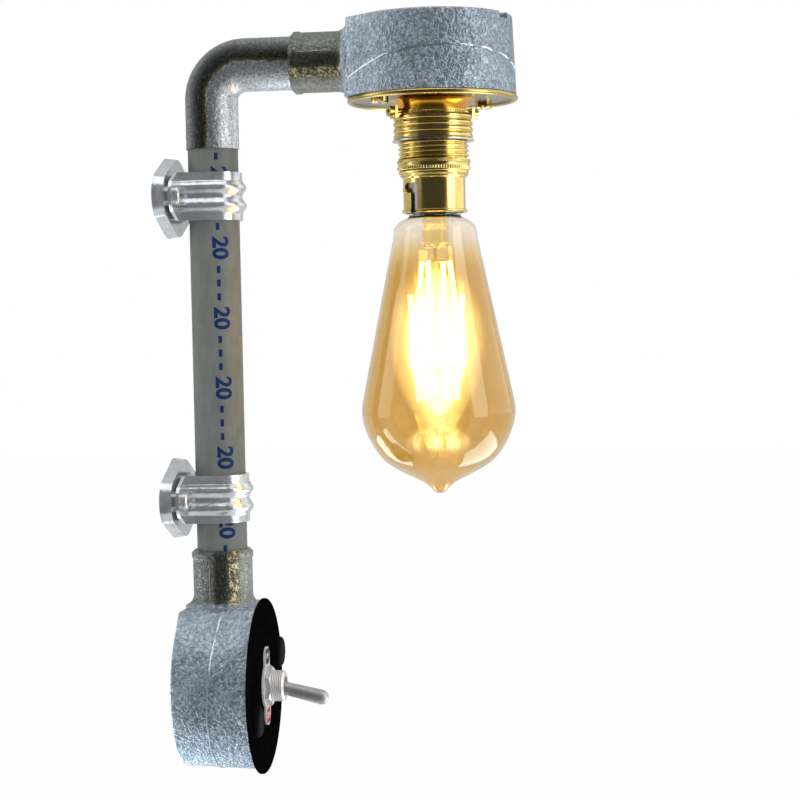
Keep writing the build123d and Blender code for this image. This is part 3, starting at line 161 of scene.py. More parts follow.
class Shader(Tree):
    """A material with its Principled shader, patterned in the object's own coordinates."""

    def __init__(self, name):
        self.material = bpy.data.materials.new(name)
        self.material.use_nodes = True
        super().__init__(self.material.node_tree)
        self.principled = self.tree.nodes["Principled BSDF"]
        self.output = self.tree.nodes["Material Output"]
        self.place = self.add("ShaderNodeTexCoord").outputs["Object"]

    def set(self, **values):
        for key, value in values.items():
            self.principled.inputs[key.replace("_", " ")].default_value = value

    def feed(self, socket, source):
        self.link(source, self.principled.inputs[socket])

    def noise(self, scale, detail=3.0, rough=0.5, stretch=(1, 1, 1), distortion=0.0):
        mapping = self.add("ShaderNodeMapping")
        mapping.inputs["Scale"].default_value = stretch
        self.link(self.place, mapping.inputs["Vector"])
        node = self.add("ShaderNodeTexNoise")
        node.inputs["Scale"].default_value = scale
        node.inputs["Detail"].default_value = detail
        node.inputs["Roughness"].default_value = rough
        node.inputs["Distortion"].default_value = distortion
        self.link(mapping.outputs["Vector"], node.inputs["Vector"])
        return node.outputs["Fac"]

    def cells(self, scale, smooth):
        node = self.add("ShaderNodeTexVoronoi", feature="SMOOTH_F1")
        node.inputs["Scale"].default_value = scale
        node.inputs["Smoothness"].default_value = smooth
        self.link(self.place, node.inputs["Vector"])
        return node.outputs["Distance"]

    def ramp(self, value, *stops):
        node = self.add("ShaderNodeValToRGB")
        ramp = node.color_ramp
        while len(ramp.elements) < len(stops):
            ramp.elements.new(0.5)
        for element, (at, colour) in zip(ramp.elements, stops):
            element.position = at
            element.color = (*colour, 1)
        self.link(value, node.inputs["Fac"])
        return node.outputs["Color"]

    def mix(self, factor, a, b, blend="MIX"):
        node = self.add("ShaderNodeMix", data_type="RGBA", blend_type=blend)
        for name, value in (("Factor", factor), ("A", a), ("B", b)):
            socket = [s for s in node.inputs if s.name == name and s.enabled][0]
            if isinstance(value, (int, float)):
                socket.default_value = value
            elif isinstance(value, tuple):
                socket.default_value = (*value, 1)
            else:
                self.link(value, socket)
        return [s for s in node.outputs if s.enabled][0]

    def dimmed(self, colour, level):
        """The colour times a grey level."""
        grey = self.add("ShaderNodeCombineColor")
        for socket in grey.inputs:
            self.link(level, socket)
        return self.mix(1.0, colour, grey.outputs[0], "MULTIPLY")

    def bump(self, *layers):
        """Each layer is (height, strength, distance in mm)."""
        normal = None
        for height, strength, distance in layers:
            node = self.add("ShaderNodeBump")
            node.inputs["Strength"].default_value = strength
            node.inputs["Distance"].default_value = distance * MM
            self.link(height, node.inputs["Height"])
            if normal is not None:
                self.link(normal, node.inputs["Normal"])
            normal = node.outputs["Normal"]
        self.feed("Normal", normal)

    def axis(self, index):
        return self.parts(self.place)[index]

    def off_axis(self, index, middle):
        """How far a point lies from a middle along one axis, to either side."""
        return self.math("ABSOLUTE", self.minus(self.axis(index), middle))

    def hypotenuse(self, a, b):
        return self.math("SQRT", self.plus(self.times(a, a), self.times(b, b)))

    def lower_box(self):
        """1 on the switch box, 0 on the lamp box."""
        return self.span(self.axis(Z), 0.0, 1 * MM, 1.0, 0.0)

    def facing_us(self, power):
        """1 in the middle of a glowing shell, falling to 0 at its outline."""
        weight = self.add("ShaderNodeLayerWeight")
        weight.inputs["Blend"].default_value = 0.5
        return self.math("POWER", self.minus(1.0, weight.outputs["Facing"]), power)

    def glow(self, strength, colour, bright):
        """Makes it a shell that shines and hides little behind it."""
        self.feed("Alpha", strength)
        self.feed("Base Color", colour)
        self.feed("Emission Color", colour)
        self.set(Roughness=1.0, Specular_IOR_Level=0.0, Emission_Strength=bright)


# ---------------------------------------------------------------- materials
def casting():
    """Hot dipped malleable iron: a fine rough skin, blue-grey, with painted light and shade along each box,
    painted shade patches, painted reflections in olive, dark and gold bands round the spouts, painted glints,
    and a painted highlight where the upper spout meets its box.
    """
    s = Shader("galvanised_casting")
    patches = s.noise(48, 3, 0.55)
    medium = s.noise(300, 2, 0.5, distortion=0.5)
    grain = s.noise(720, 2, 0.5, distortion=0.7)
    specks = s.noise(760, 1, 0.6)
    colour = s.ramp(patches, (0.30, (0.19, 0.235, 0.27)), (0.50, (0.27, 0.33, 0.385)),
                    (0.70, (0.37, 0.45, 0.52)))
    colour = s.dimmed(colour, painted_light_along(s))
    spout, down = spout_places(s)
    # Painted reflection on the spouts: olive, dark and gold bands by how low a point lies on the spout's
    # side.
    spout_reflection = s.ramp(down, (0.0, (0.15, 0.17, 0.155)), (0.36, (0.17, 0.185, 0.17)),
                   (0.43, (0.050, 0.050, 0.048)), (0.58, (0.058, 0.057, 0.048)),
                   (0.66, (0.13, 0.12, 0.075)), (0.76, (0.20, 0.19, 0.13)), (0.86, (0.25, 0.26, 0.24)))
    # The gold band of painted reflection, broken up by the grain.
    gold = s.times(s.span(down, 0.60, 0.66, 0.0, 1.0, True), s.span(down, 0.74, 0.82, 1.0, 0.0, True))
    gold_reflection_flecks = s.times(s.span(grain, 0.48, 0.62, 0.0, 0.75, True), gold)
    colour = s.mix(spout, colour, s.mix(gold_reflection_flecks, spout_reflection, (0.82, 0.72, 0.38)))
    colour = s.dimmed(colour, s.span(specks, 0.24, 0.34, 0.40, 1.0, True))
    colour = s.dimmed(colour, s.span(grain, 0.36, 0.60, 0.76, 1.18, True))
    colour = s.dimmed(colour, painted_shade_patch(s, grain))
    colour = s.mix(painted_root_highlight(s), colour, (0.74, 0.83, 0.92))
    # Painted glints on the grain's crests, kept off the spouts.
    painted_glint = s.times(s.span(grain, 0.58, 0.68, 0.0, 0.4, True), s.minus(1.0, spout))
    colour = s.mix(painted_glint, colour, (0.72, 0.81, 0.90))
    s.feed("Base Color", colour)
    s.feed("Roughness", s.span(medium, 0.3, 0.7, 0.28, 0.42))
    s.set(Metallic=0.55)
    s.bump((medium, 0.5, 0.7), (grain, 1.0, 0.75))
    return s.material


def painted_shade_patch(s, grain):
    """Painted shade, crumpled by the grain: a darker patch under the seam of the upper box, outside the seam
    of the lower one.
    """
    under = s.span(s.axis(Z), ARM_Z - 2 * MM, ARM_Z + 3 * MM, 1.0, 0.0)
    arm = s.times(s.span(s.off_axis(Y, LAMP_Y + 1 * MM), 7 * MM, 16 * MM, 1.0, 0.0), under)
    outer = s.span(s.axis(Y), CONDUIT_Y - 2 * MM, CONDUIT_Y + 0.5 * MM, 1.0, 0.25)
    foot = s.times(s.span(s.off_axis(Z, SWITCH_Z - 5 * MM), 9 * MM, 19 * MM, 1.0, 0.0), outer)
    where = s.choose(s.lower_box(), foot, arm)
    dark = s.span(grain, 0.38, 0.58, 0.84, 1.12, True)
    return s.choose(where, dark, 1.0)


def painted_root_highlight(s):
    """A painted highlight: a bright line where the upper spout runs into its box, under the parting line."""
    out = s.minus(s.axis(Y), LAMP_Y)
    near = s.times(s.span(out, (SPOUT_ROOT - 1.4) * MM, (SPOUT_ROOT - 0.6) * MM, 0.0, 1.0),
                   s.span(out, SPOUT_ROOT * MM, (SPOUT_ROOT + 1.0) * MM, 1.0, 0.0))
    under = s.span(s.axis(Z), ARM_Z + 2 * MM, ARM_Z + 4 * MM, 1.0, 0.0)
    return s.times(s.times(near, under), 0.75)


def painted_light_along(s):
    """Painted light and shade: the lower box is duller towards its foot, the upper one away from the arm."""
    foot = s.span(s.minus(s.axis(Z), SWITCH_Z), -30 * MM, -6 * MM, 0.98, 1.30)
    arm = s.span(s.axis(Y), LAMP_Y - 26 * MM, LAMP_Y + 4 * MM, 0.78, 1.38)
    return s.choose(s.lower_box(), foot, arm)


def spout_places(s):
    """How far a point is on either box's spout, and how low it lies on the side of the spout."""
    x, y, z = s.axis(X), s.axis(Y), s.axis(Z)
    half = 12.5 * MM
    root, full = SPOUT_ROOT * MM, (SPOUT_ROOT + 1.8) * MM
    lower = s.lower_box()
    arm = s.span(y, LAMP_Y + root, LAMP_Y + full, 0.0, 1.0, True)
    foot = s.times(s.span(z, SWITCH_Z + root, SWITCH_Z + full, 0.0, 1.0, True), lower)
    arm_down = s.span(z, ARM_Z + half, ARM_Z - half, 0.0, 1.0)
    foot_down = s.span(s.plus(y, s.times(x, -0.13)), CONDUIT_Y + half, CONDUIT_Y - half, 0.0, 1.0)
    upper = s.times(arm, s.minus(1.0, lower))
    return s.math("ADD", upper, foot, True), s.choose(lower, foot_down, arm_down)


def elbow_casting():
    """The same skin, crinkled more; its tone is partly its own and partly painted reflection: bright inside
    the bend, dark and dull outside the parting line.
    """
    s = Shader("galvanised_elbow")
    grain = s.noise(900, 2, 0.5, distortion=1.2)
    medium = s.noise(430, 3, 0.6, distortion=0.8)
    patches = s.noise(60, 3, 0.6)
    bend = ELBOW_BEND * MM
    u = s.math("MAXIMUM", s.minus(s.axis(Y), CONDUIT_Y - bend), 0.0)
    v = s.math("MAXIMUM", s.minus(s.axis(Z), ARM_Z - bend), 0.0)
    reach = s.plus(s.hypotenuse(u, v), s.span(patches, 0.3, 0.7, -0.6 * MM, 0.6 * MM))
    place = s.span(reach, bend - 2 * MM, bend + ELBOW_R * MM, 0.0, 1.0)
    # Painted reflection in part: the bright inner bend, the warm band by the seam and the dark outer side.
    tone = s.ramp(place, (0.0, (0.58, 0.62, 0.66)), (0.12, (0.50, 0.53, 0.56)), (0.19, (0.16, 0.14, 0.08)),
                  (0.30, (0.045, 0.045, 0.042)), (0.52, (0.032, 0.034, 0.034)),
                  (0.70, (0.07, 0.074, 0.074)), (0.90, (0.24, 0.26, 0.27)))
    s.feed("Base Color", s.dimmed(tone, s.span(grain, 0.34, 0.62, 0.72, 1.25, True)))
    s.feed("Roughness", s.span(medium, 0.3, 0.7, 0.22, 0.36))
    s.set(Metallic=0.85)
    s.bump((medium, 0.5, 0.5), (grain, 0.8, 0.35))
    return s.material


def conduit_steel():
    """Drawn galvanised tube: dull and even with faint lines along it."""
    s = Shader("conduit_steel")
    lines = s.noise(420, 3, 0.6, stretch=(1, 1, 0.02))
    mottle = s.noise(260, 3, 0.6, stretch=(1, 1, 0.4))
    s.feed("Base Color", s.ramp(mottle, (0.3, (0.172, 0.187, 0.175)), (0.7, (0.220, 0.238, 0.222))))
    s.feed("Roughness", s.span(lines, 0.3, 0.7, 0.52, 0.66))
    s.set(Metallic=0.10, Specular_IOR_Level=0.25)
    s.bump((lines, 0.2, 0.10), (mottle, 0.1, 0.1))
    return s.material


def bright_zinc(name, rough):
    """Bright zinc plating on pressed steel, a little rippled."""
    s = Shader(name)
    ripple = s.noise(150, 4, 0.55, distortion=1.0)
    fine = s.noise(900, 3, 0.6)
    s.feed("Base Color", s.ramp(ripple, (0.25, (0.48, 0.51, 0.53)), (0.5, (0.64, 0.67, 0.70)),
                                (0.75, (0.80, 0.83, 0.86))))
    s.feed("Roughness", s.span(fine, 0.3, 0.7, rough, rough + 0.09))
    s.set(Metallic=0.68)
    s.bump((ripple, 0.42, 0.5), (fine, 0.03, 0.03))
    return s.material


def brass():
    """Polished brass, clouded in places, with fine turning marks."""
    s = Shader("polished_brass")
    cloud = s.noise(90, 4, 0.6)
    turned = s.noise(2600, 2, 0.5, stretch=(0.04, 0.04, 1))
    s.feed("Base Color", s.mix(s.span(cloud, 0.35, 0.7, 0.0, 1.0), (0.84, 0.66, 0.25), (0.60, 0.43, 0.12)))
    s.feed("Roughness", s.span(cloud, 0.3, 0.7, 0.13, 0.25))
    s.set(Metallic=1.0)
    s.bump((turned, 0.10, 0.05), (cloud, 0.05, 0.3))
    return s.material


def plate_brass():
    """Brass plate: gold round its rolled edge; dull and greyish below and amber on the spun collar, both
    painted reflection.
    """
    s = Shader("plate_brass")
    cloud = s.noise(70, 4, 0.6)
    reach = s.hypotenuse(s.axis(X), s.minus(s.axis(Y), LAMP_Y))
    # Painted reflection: the dull greyish face, and the amber on the collar below.
    face = s.ramp(cloud, (0.3, (0.13, 0.115, 0.060)), (0.7, (0.21, 0.19, 0.11)))
    collar = s.span(reach, COLLAR_R * MM, (COLLAR_R + 0.9) * MM, 1.0, 0.0, True)
    edge = s.span(reach, ROLLED_EDGE_R * MM, (ROLLED_EDGE_R + 0.4) * MM, 0.0, 1.0, True)
    colour = s.mix(collar, face, (0.74, 0.36, 0.035))
    colour = s.mix(edge, colour, (0.52, 0.38, 0.13))
    s.feed("Base Color", colour)
    s.feed("Roughness", s.span(cloud, 0.3, 0.7, 0.18, 0.30))
    s.set(Metallic=1.0)
    s.bump((cloud, 0.05, 0.3))
    return s.material


def plain_metal(name, tone, dark, rough, scale=700, lift=0.1, metal=1.0):
    """Plated or bare metal, mottled finely between two tones."""
    s = Shader(name)
    cloud = s.noise(scale, 3, 0.6)
    s.feed("Base Color", s.ramp(cloud, (0.3, dark), (0.7, tone)))
    s.feed("Roughness", s.span(cloud, 0.3, 0.7, rough, rough + 0.12))
    s.set(Metallic=metal)
    s.bump((cloud, lift, 0.05))
    return s.material


def moulded(name, tone, dark, rough, scale=1500, lift=0.12, gloss=0.5):
    """Plastic or rubber from a mould."""
    s = Shader(name)
    cloud = s.noise(scale, 3, 0.6)
    s.feed("Base Color", s.ramp(cloud, (0.3, dark), (0.7, tone)))
    s.feed("Roughness", s.span(cloud, 0.3, 0.7, rough, rough + 0.15))
    s.set(Specular_IOR_Level=gloss)
    s.bump((cloud, lift, 0.05))
    return s.material


def earth_sleeve():
    """Green with a yellow stripe along the wire."""
    s = Shader("green_yellow_sleeve")
    stripe = s.span(s.axis(X), -0.4 * MM, 0.4 * MM, 0.0, 1.0)
    s.feed("Base Color", s.mix(stripe, (0.04, 0.28, 0.05), (0.75, 0.62, 0.03)))
    s.feed("Roughness", s.span(s.noise(1200), 0.3, 0.7, 0.32, 0.45))
    return s.material


def amber_glass():
    """Clear at the neck, tinted amber from the shoulder down, a little unevenly."""
    s = Shader("amber_glass")
    tint = s.span(s.axis(Z), 26 * MM, 47 * MM, 1.0, 0.0, True)
    uneven = s.noise(26, 2, 0.5)
    tint = s.math("MULTIPLY", tint, s.span(uneven, 0.3, 0.7, 0.88, 1.0), True)
    body = s.ramp(tint, (0.0, (0.90, 0.85, 0.78)), (0.5, (0.84, 0.71, 0.47)), (1.0, (0.77, 0.57, 0.25)))
    edge = s.ramp(tint, (0.0, (0.62, 0.56, 0.50)), (1.0, (0.48, 0.28, 0.11)))
    weight = s.add("ShaderNodeLayerWeight")
    weight.inputs["Blend"].default_value = 0.5
    s.feed("Base Color", s.mix(s.span(weight.outputs["Facing"], 0.80, 1.0, 0.0, 1.0), body, edge))
    s.feed("Roughness", s.span(uneven, 0.3, 0.7, 0.0, 0.015))
    s.set(Transmission_Weight=1.0, IOR=1.45)
    return s.material


def clear_glass():
    """The stem: clear glass that takes up the filaments' warm light."""
    s = Shader("stem_glass")
    s.feed("Base Color", s.ramp(s.noise(60), (0.3, (0.98, 0.86, 0.56)), (0.7, (1.0, 0.91, 0.68))))
    s.feed("Roughness", s.span(s.noise(60), 0.3, 0.7, 0.0, 0.03))
    s.set(Transmission_Weight=1.0, IOR=1.45)
    return s.material


def filament_glow():
    """Lit filaments, dotted by the chips under their coating."""
    s = Shader("filament_glow")
    dots = s.cells(900, 0.4)
    s.feed("Base Color", s.ramp(dots, (0.2, (1.0, 0.75, 0.35)), (0.7, (0.95, 0.60, 0.20))))
    s.feed("Emission Color", s.ramp(dots, (0.2, (1.0, 0.74, 0.30)), (0.7, (1.0, 0.60, 0.16))))
    s.set(Roughness=0.4, Emission_Strength=16.0)
    return s.material


def lid_black():
    """Dead black enamel with a fine orange peel."""
    s = Shader("black_enamel")
    peel = s.noise(1100, 3, 0.6)
    wear = s.noise(160, 4, 0.65)
    s.feed("Base Color", s.ramp(wear, (0.35, (0.002, 0.002, 0.002)), (0.75, (0.005, 0.005, 0.005))))
    s.feed("Roughness", s.span(peel, 0.3, 0.7, 0.8, 0.95))
    s.set(Specular_IOR_Level=0.0)
    s.bump((peel, 0.1, 0.04))
    return s.material


def cast_seam():
    """The parting line: bright in places as painted highlights, dull in between; on the upper box the dull
    stretch is dark, a painted shadow line.
    """
    s = Shader("cast_seam")
    grain = s.noise(700, 2, 0.6)
    lower = s.lower_box()
    foot = s.span(s.axis(Z), SWITCH_Z + 8 * MM, SWITCH_Z + 14 * MM, 0.0, 1.0)
    arm = s.span(s.off_axis(Y, LAMP_Y), 9 * MM, 15 * MM, 0.0, 1.0)
    # Painted highlights where light would catch the seam, broken into stretches.
    bright = s.times(s.choose(lower, foot, arm), s.span(grain, 0.35, 0.5, 0.4, 1.0, True))
    bright = s.times(bright, s.span(s.noise(170, 1, 0.5), 0.40, 0.50, 0.15, 1.0, True))
    # Dull between; on the upper box this dark tone is a painted shadow line.
    dull = s.mix(lower, (0.20, 0.225, 0.25), (0.32, 0.37, 0.42))
    s.feed("Base Color", s.mix(bright, dull, (0.92, 0.96, 1.0)))
    s.feed("Roughness", s.span(grain, 0.3, 0.7, 0.25, 0.45))
    s.set(Metallic=0.6)
    s.bump((grain, 0.6, 0.3))
    return s.material


def printed_tag():
    """White tag; a black patch on the upper lobe and a red one on the lower, each inside a white rim."""
    s = Shader("printed_tag")
    height = s.minus(s.axis(Z), SWITCH_Z)
    brush = s.noise(900, 2, 0.6, stretch=(0.05, 1, 1))
    plate = s.ramp(brush, (0.3, (0.66, 0.66, 0.66)), (0.7, (0.80, 0.80, 0.80)))
    half_width, half_height, roundness = 3.6 * MM, 3.1 * MM, 4.0
    across = s.math("POWER", s.math("DIVIDE", s.math("ABSOLUTE", s.axis(X)), half_width), roundness)

    def patch(middle):
        off = s.math("DIVIDE", s.math("ABSOLUTE", s.minus(height, middle * MM)), half_height)
        return s.span(s.plus(across, s.math("POWER", off, roundness)), 0.97, 1.03, 1.0, 0.0)

    colour = s.mix(patch(-LEGEND_OFF), plate, (0.60, 0.012, 0.016))
    colour = s.mix(patch(LEGEND_OFF), colour, (0.008, 0.008, 0.008))
    s.feed("Base Color", colour)
    s.feed("Roughness", s.span(brush, 0.3, 0.7, 0.50, 0.62))
    s.set(Specular_IOR_Level=0.15)
    return s.material


def halo(name, power, low, high, bright):
    """Light spread by the coated filaments: full in the middle, nothing at the outline."""
    s = Shader(name)
    soft = s.noise(140, 2, 0.5)
    strength = s.times(s.facing_us(power), s.span(soft, 0.3, 0.7, low, high))
    strength = s.times(strength, s.span(s.axis(Z), 30 * MM, 10 * MM, 0.2, 1.0))
    s.glow(strength, s.ramp(soft, (0.3, (1.0, 0.90, 0.66)), (0.7, (1.0, 0.95, 0.80))), bright)
    return s.material


def glow_echo():
    """A painted reflection: the filaments seen again in the curved foot of the glass, a streaky burst."""
    s = Shader("glow_echo")
    streaks = s.noise(260, 1, 0.5, stretch=(1, 1, 0.15))
    strength = s.times(s.facing_us(3.0), s.span(streaks, 0.40, 0.64, 0.10, 0.62))
    strength = s.times(strength, s.span(s.axis(Z), -46 * MM, -32 * MM, 0.1, 1.0, True))
    s.glow(strength, s.ramp(streaks, (0.4, (1.0, 0.84, 0.50)), (0.6, (1.0, 0.95, 0.78))), 5.0)
    return s.material


def ink(name, colour, dark):
    """Print that lies a little unevenly."""
    s = Shader(name)
    s.feed("Base Color", s.ramp(s.noise(900, 3, 0.7), (0.3, dark), (0.7, colour)))
    s.feed("Roughness", s.span(s.noise(900), 0.3, 0.7, 0.45, 0.6))
    s.set(Specular_IOR_Level=0.2)
    return s.material


MATERIALS = {
    "casting": casting(),
    "elbow": elbow_casting(),
    "cast_seam": cast_seam(),
    # Painted highlight along the spouts' parting lines.
    "bright_seam": plain_metal("seam_highlight", (0.80, 0.76, 0.62), (0.55, 0.52, 0.40), 0.30),
    "conduit": conduit_steel(),
    "zinc": bright_zinc("bright_zinc", 0.15),
    "screw": bright_zinc("zinc_screw", 0.22),
    "brass": brass(),
    "plate_brass": plate_brass(),
    "carrier": plain_metal("carrier_steel", (0.68, 0.68, 0.67), (0.50, 0.50, 0.49), 0.22),
    "nickel": plain_metal("nickel", (0.80, 0.80, 0.80), (0.66, 0.66, 0.66), 0.34, 900, 0.10, 0.55),
    "lever": plain_metal("satin_nickel", (0.50, 0.50, 0.50), (0.42, 0.42, 0.42), 0.46, 1200, 0.12, 0.75),
    "steel": plain_metal("plated_steel", (0.62, 0.63, 0.64), (0.48, 0.49, 0.50), 0.28),
    "cap": plain_metal("cap_alloy", (0.42, 0.42, 0.41), (0.30, 0.30, 0.30), 0.30),
    "solder": plain_metal("solder", (0.70, 0.70, 0.70), (0.55, 0.55, 0.55), 0.30),
    "lead": plain_metal("lead_wire", (0.70, 0.62, 0.50), (0.50, 0.45, 0.38), 0.25),
    "phenolic": moulded("phenolic", (0.040, 0.030, 0.026), (0.020, 0.015, 0.013), 0.25),
    "lid": lid_black(),
    "cap_black": moulded("black_cap", (0.004, 0.004, 0.004), (0.002, 0.002, 0.002), 0.6, 1200, 0.1, 0.04),
    "rubber": moulded("rubber", (0.030, 0.030, 0.030), (0.016, 0.016, 0.016), 0.6, 1300, 0.3),
    "connector": moulded("connector_plastic", (0.80, 0.79, 0.75), (0.70, 0.69, 0.65), 0.4),
    "live": moulded("brown_sleeve", (0.17, 0.06, 0.025), (0.12, 0.04, 0.018), 0.35),
    "neutral": moulded("blue_sleeve", (0.03, 0.10, 0.45), (0.02, 0.07, 0.35), 0.35),
    "earth": earth_sleeve(),
    "glass": amber_glass(),
    "stem": clear_glass(),
    "filament": filament_glow(),
    "filament_halo": halo("filament_halo", 1.7, 0.62, 0.85, 5.0),
    "wide_halo": halo("wide_halo", 2.8, 0.20, 0.36, 3.0),
    "glow_echo": glow_echo(),
    "tag": printed_tag(),
    "blue_ink": ink("blue_ink", (0.004, 0.035, 0.16), (0.003, 0.020, 0.10)),
    "white_ink": ink("white_ink", (0.85, 0.85, 0.85), (0.75, 0.75, 0.75)),
}
NODE_MATERIALS = {
    "casting": ["lamp_box", "switch_box"],
    "elbow": ["elbow"],
    "conduit": ["conduit"],
    "zinc": ["upper_saddle_base", "upper_saddle_strap", "lower_saddle_base", "lower_saddle_strap"],
    "screw": ["upper_saddle_screws", "lower_saddle_screws"],
    "brass": ["plate_screws", "union_ring", "cover_screws", "skirt", "shade_ring", "shade_lip",
              "contact_plungers", "holder_terminals", "earth_terminal", "switch_terminals",
              "connector_screws", "lamp_pins"],
    "plate_brass": ["back_plate"],
    "carrier": ["carrier_ring"],
    "nickel": ["switch_nut", "lock_washer", "switch_bush", "pivot_pin"],
    "lever": ["toggle_lever"],
    "steel": ["switch_frame", "plunger_springs"],
    "cap": ["lamp_cap"],
    "solder": ["lamp_contacts"],
    "lead": ["filament_wires"],
    "phenolic": ["switch_body", "holder_block", "cap_insulator"],
    "lid": ["switch_lid"],
    "cap_black": ["lid_screws"],
    "rubber": ["cable_grommet"],
    "connector": ["connector_block"],
    "live": ["live_wire", "link_wire"],
    "neutral": ["neutral_wire"],
    "earth": ["earth_wire"],
    "glass": ["lamp_glass"],
    "stem": ["lamp_stem"],
    "filament": ["filaments"],
    "tag": ["legend_plate"],
}


def dress_nodes():
    """Gives every CAD node its material."""
    for key, names in NODE_MATERIALS.items():
        for name in names:
            mesh = nodes[name].data
            mesh.materials.clear()
            mesh.materials.append(MATERIALS[key])


# ---------------------------------------------------------------- piece helpers
def add_piece(name, mesh, material, body):
    """Puts a mesh in the scene as a piece that moves with a body."""
    piece = bpy.data.objects.new(name, mesh)
    scene.collection.objects.link(piece)
    mesh.materials.clear()
    mesh.materials.append(MATERIALS[material])
    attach(piece, body)
    return piece


def mesh_from(name, vertices, faces):
    """A smooth mesh with its faces turned outwards."""
    mesh = bpy.data.meshes.new(name)
    mesh.from_pydata(vertices, [], faces)
    mesh.update()
    fixer = bmesh.new()
    fixer.from_mesh(mesh)
    bmesh.ops.recalc_face_normals(fixer, faces=fixer.faces)
    fixer.to_mesh(mesh)
    fixer.free()
    mesh.polygons.foreach_set("use_smooth", [True] * len(mesh.polygons))
    return mesh


def ring_mesh(name, heights, radius, bore, turns, centre=(0.0, LAMP_Y)):
    """A closed ring about an upright axis: radius(height, angle) outside, a plain bore inside."""
    angles = [2 * pi * k / turns for k in range(turns)]
    rows = [[(radius(z, angle), z) for angle in angles] for z in heights]
    rows = [[(bore, heights[0])] * turns] + rows + [[(bore, heights[-1])] * turns]
    vertices = []
    for row in rows:
        for (r, z), angle in zip(row, angles):
            vertices.append((centre[0] + r * MM * cos(angle), centre[1] + r * MM * sin(angle), z * MM))
    faces = []
    count = len(rows)
    for i in range(count):
        j = (i + 1) % count
        for k in range(turns):
            n = (k + 1) % turns
            faces.append((i * turns + k, i * turns + n, j * turns + n, j * turns + k))
    return mesh_from(name, vertices, faces)


def spaced(low, high, count):
    """Evenly spaced values from low to high, both included."""
    return [low + (high - low) * i / count for i in range(count + 1)]


# ---------------------------------------------------------------- lampholder details
def barrel_thread():
    """The thread rolled into the barrel: a rounded helix from the steel ring to the shoulder."""
    root, rise, bore, pitch = 12.92, 1.02, 12.75, 1.85
    skirt_length = 14.0
    top = box_of("carrier_ring")[LOW][Z] - 0.05
    foot = box_of("skirt")[LOW][Z] + skirt_length + 0.6

    def radius(z, angle):
        crest = 0.5 + 0.5 * cos(2 * pi * (z / pitch) - angle)
        fade = min(1.0, (top - z) / 0.5, (z - foot) / 0.7)
        return root + rise * max(0.0, fade) * crest ** 0.8

    mesh = ring_mesh("barrel_thread", spaced(foot, top, 84), radius, bore, 72)
    add_piece("barrel_thread", mesh, "brass", "fixture")


def union_knurl():
    """The fine upright knurl on the union ring's neck."""
    root, rise, bore, ridges = 13.55, 0.5, 13.4, 78
    ring_height = 10.0
    shoulder = box_of("union_ring")[LOW][Z] + ring_height
    low, high = shoulder + 0.15, shoulder + 1.1

    def radius(z, angle):
        edge = min(1.0, (z - low) / 0.2, (high - z) / 0.2)
        return root + rise * max(0.0, edge) * (0.5 + 0.5 * cos(ridges * angle))

    mesh = ring_mesh("union_knurl", spaced(low, high, 8), radius, bore, ridges * 6)
    add_piece("union_knurl", mesh, "brass", "fixture")


def knurled_ring():
    """The shade ring: a slanting knurl at the top, a plain hollow and an upright knurl at the foot."""
    root, bore, slanting, upright, slant_pitch = 13.95, 13.0, 70, 84, 0.9
    foot, top = box_of("shade_ring")[LOW][Z], box_of("shade_ring")[HIGH][Z]
    low, high = foot + 0.05, top - 0.05
    hollow_low, hollow_high = foot + 1.4, foot + 2.9

    def radius(z, angle):
        r = root
        if z > hollow_high:
            r += 0.30 + 0.14 * cos(slanting * angle + 2 * pi * (z - hollow_high) / slant_pitch)
        elif z > hollow_low:
            r += 0.30 - 0.22 * sin(pi * (z - hollow_low) / (hollow_high - hollow_low))
        else:
            r += 0.27 + 0.16 * cos(upright * angle)
        ease = min((z - low) / 0.35, (high - z) / 0.35, 1.0)
        return r - 0.5 * (1 - sqrt(max(0.0, ease)))

    mesh = ring_mesh("knurled_ring", spaced(low, high, 40), radius, bore, 420)
    piece = add_piece("knurled_ring", mesh, "brass", "shade_nut")
    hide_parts("shade_ring")


def bush_thread():
    """Fine thread on the part of the switch's bush above its nut."""
    root, rise, bore, pitch = 6.01, 0.17, 5.9, 0.75
    low = CONDUIT_AXIS - box_of("switch_nut")[LOW][Y] + 0.1
    high = CONDUIT_AXIS - box_of("switch_bush")[LOW][Y] - 0.65

    def radius(z, angle):
        fade = min(1.0, (z - low) / 0.3, (high - z) / 0.3)
        return root + rise * max(0.0, fade) * (0.5 + 0.5 * cos(2 * pi * z / pitch - angle))

    mesh = ring_mesh("bush_thread", spaced(low, high, 60), radius, bore, 64, (0.0, 0.0))
    mesh.transform(Matrix.Translation((0, CONDUIT_Y, SWITCH_Z)) @ Matrix.Rotation(pi / 2, 4, "X"))
    add_piece("bush_thread", mesh, "nickel", "fixture")


def glow_shells():
    """Painted glow: the bright haze round the lit filaments, a close one and a wide one, and their painted
    reflection below them.
    """
    core = 0.2                 # radius of the bore up the middle, and how far the ends stop short
    for name, top, foot, wide in (("filament_halo", 30.0, -29.0, 12.8), ("wide_halo", 38.0, -37.0, 19.5),
                                  ("glow_echo", -30.0, -49.0, 14.0)):

        def radius(z, angle):
            return max(2 * core, wide * sin(pi * (top - z) / (top - foot)) ** 0.6)

        mesh = ring_mesh(name, spaced(foot + core, top - core, 60), radius, core, 48)
        add_piece(name, mesh, name, "lamp")


# ---------------------------------------------------------------- casting seams
def wave(t, seed):
    """A small repeatable wander for hand-finished lines."""
    return sin(5.1 * t + seed) * 0.5 + sin(12.7 * t + 2.3 * seed) * 0.3 + sin(29.0 * t + 0.7 * seed) * 0.2


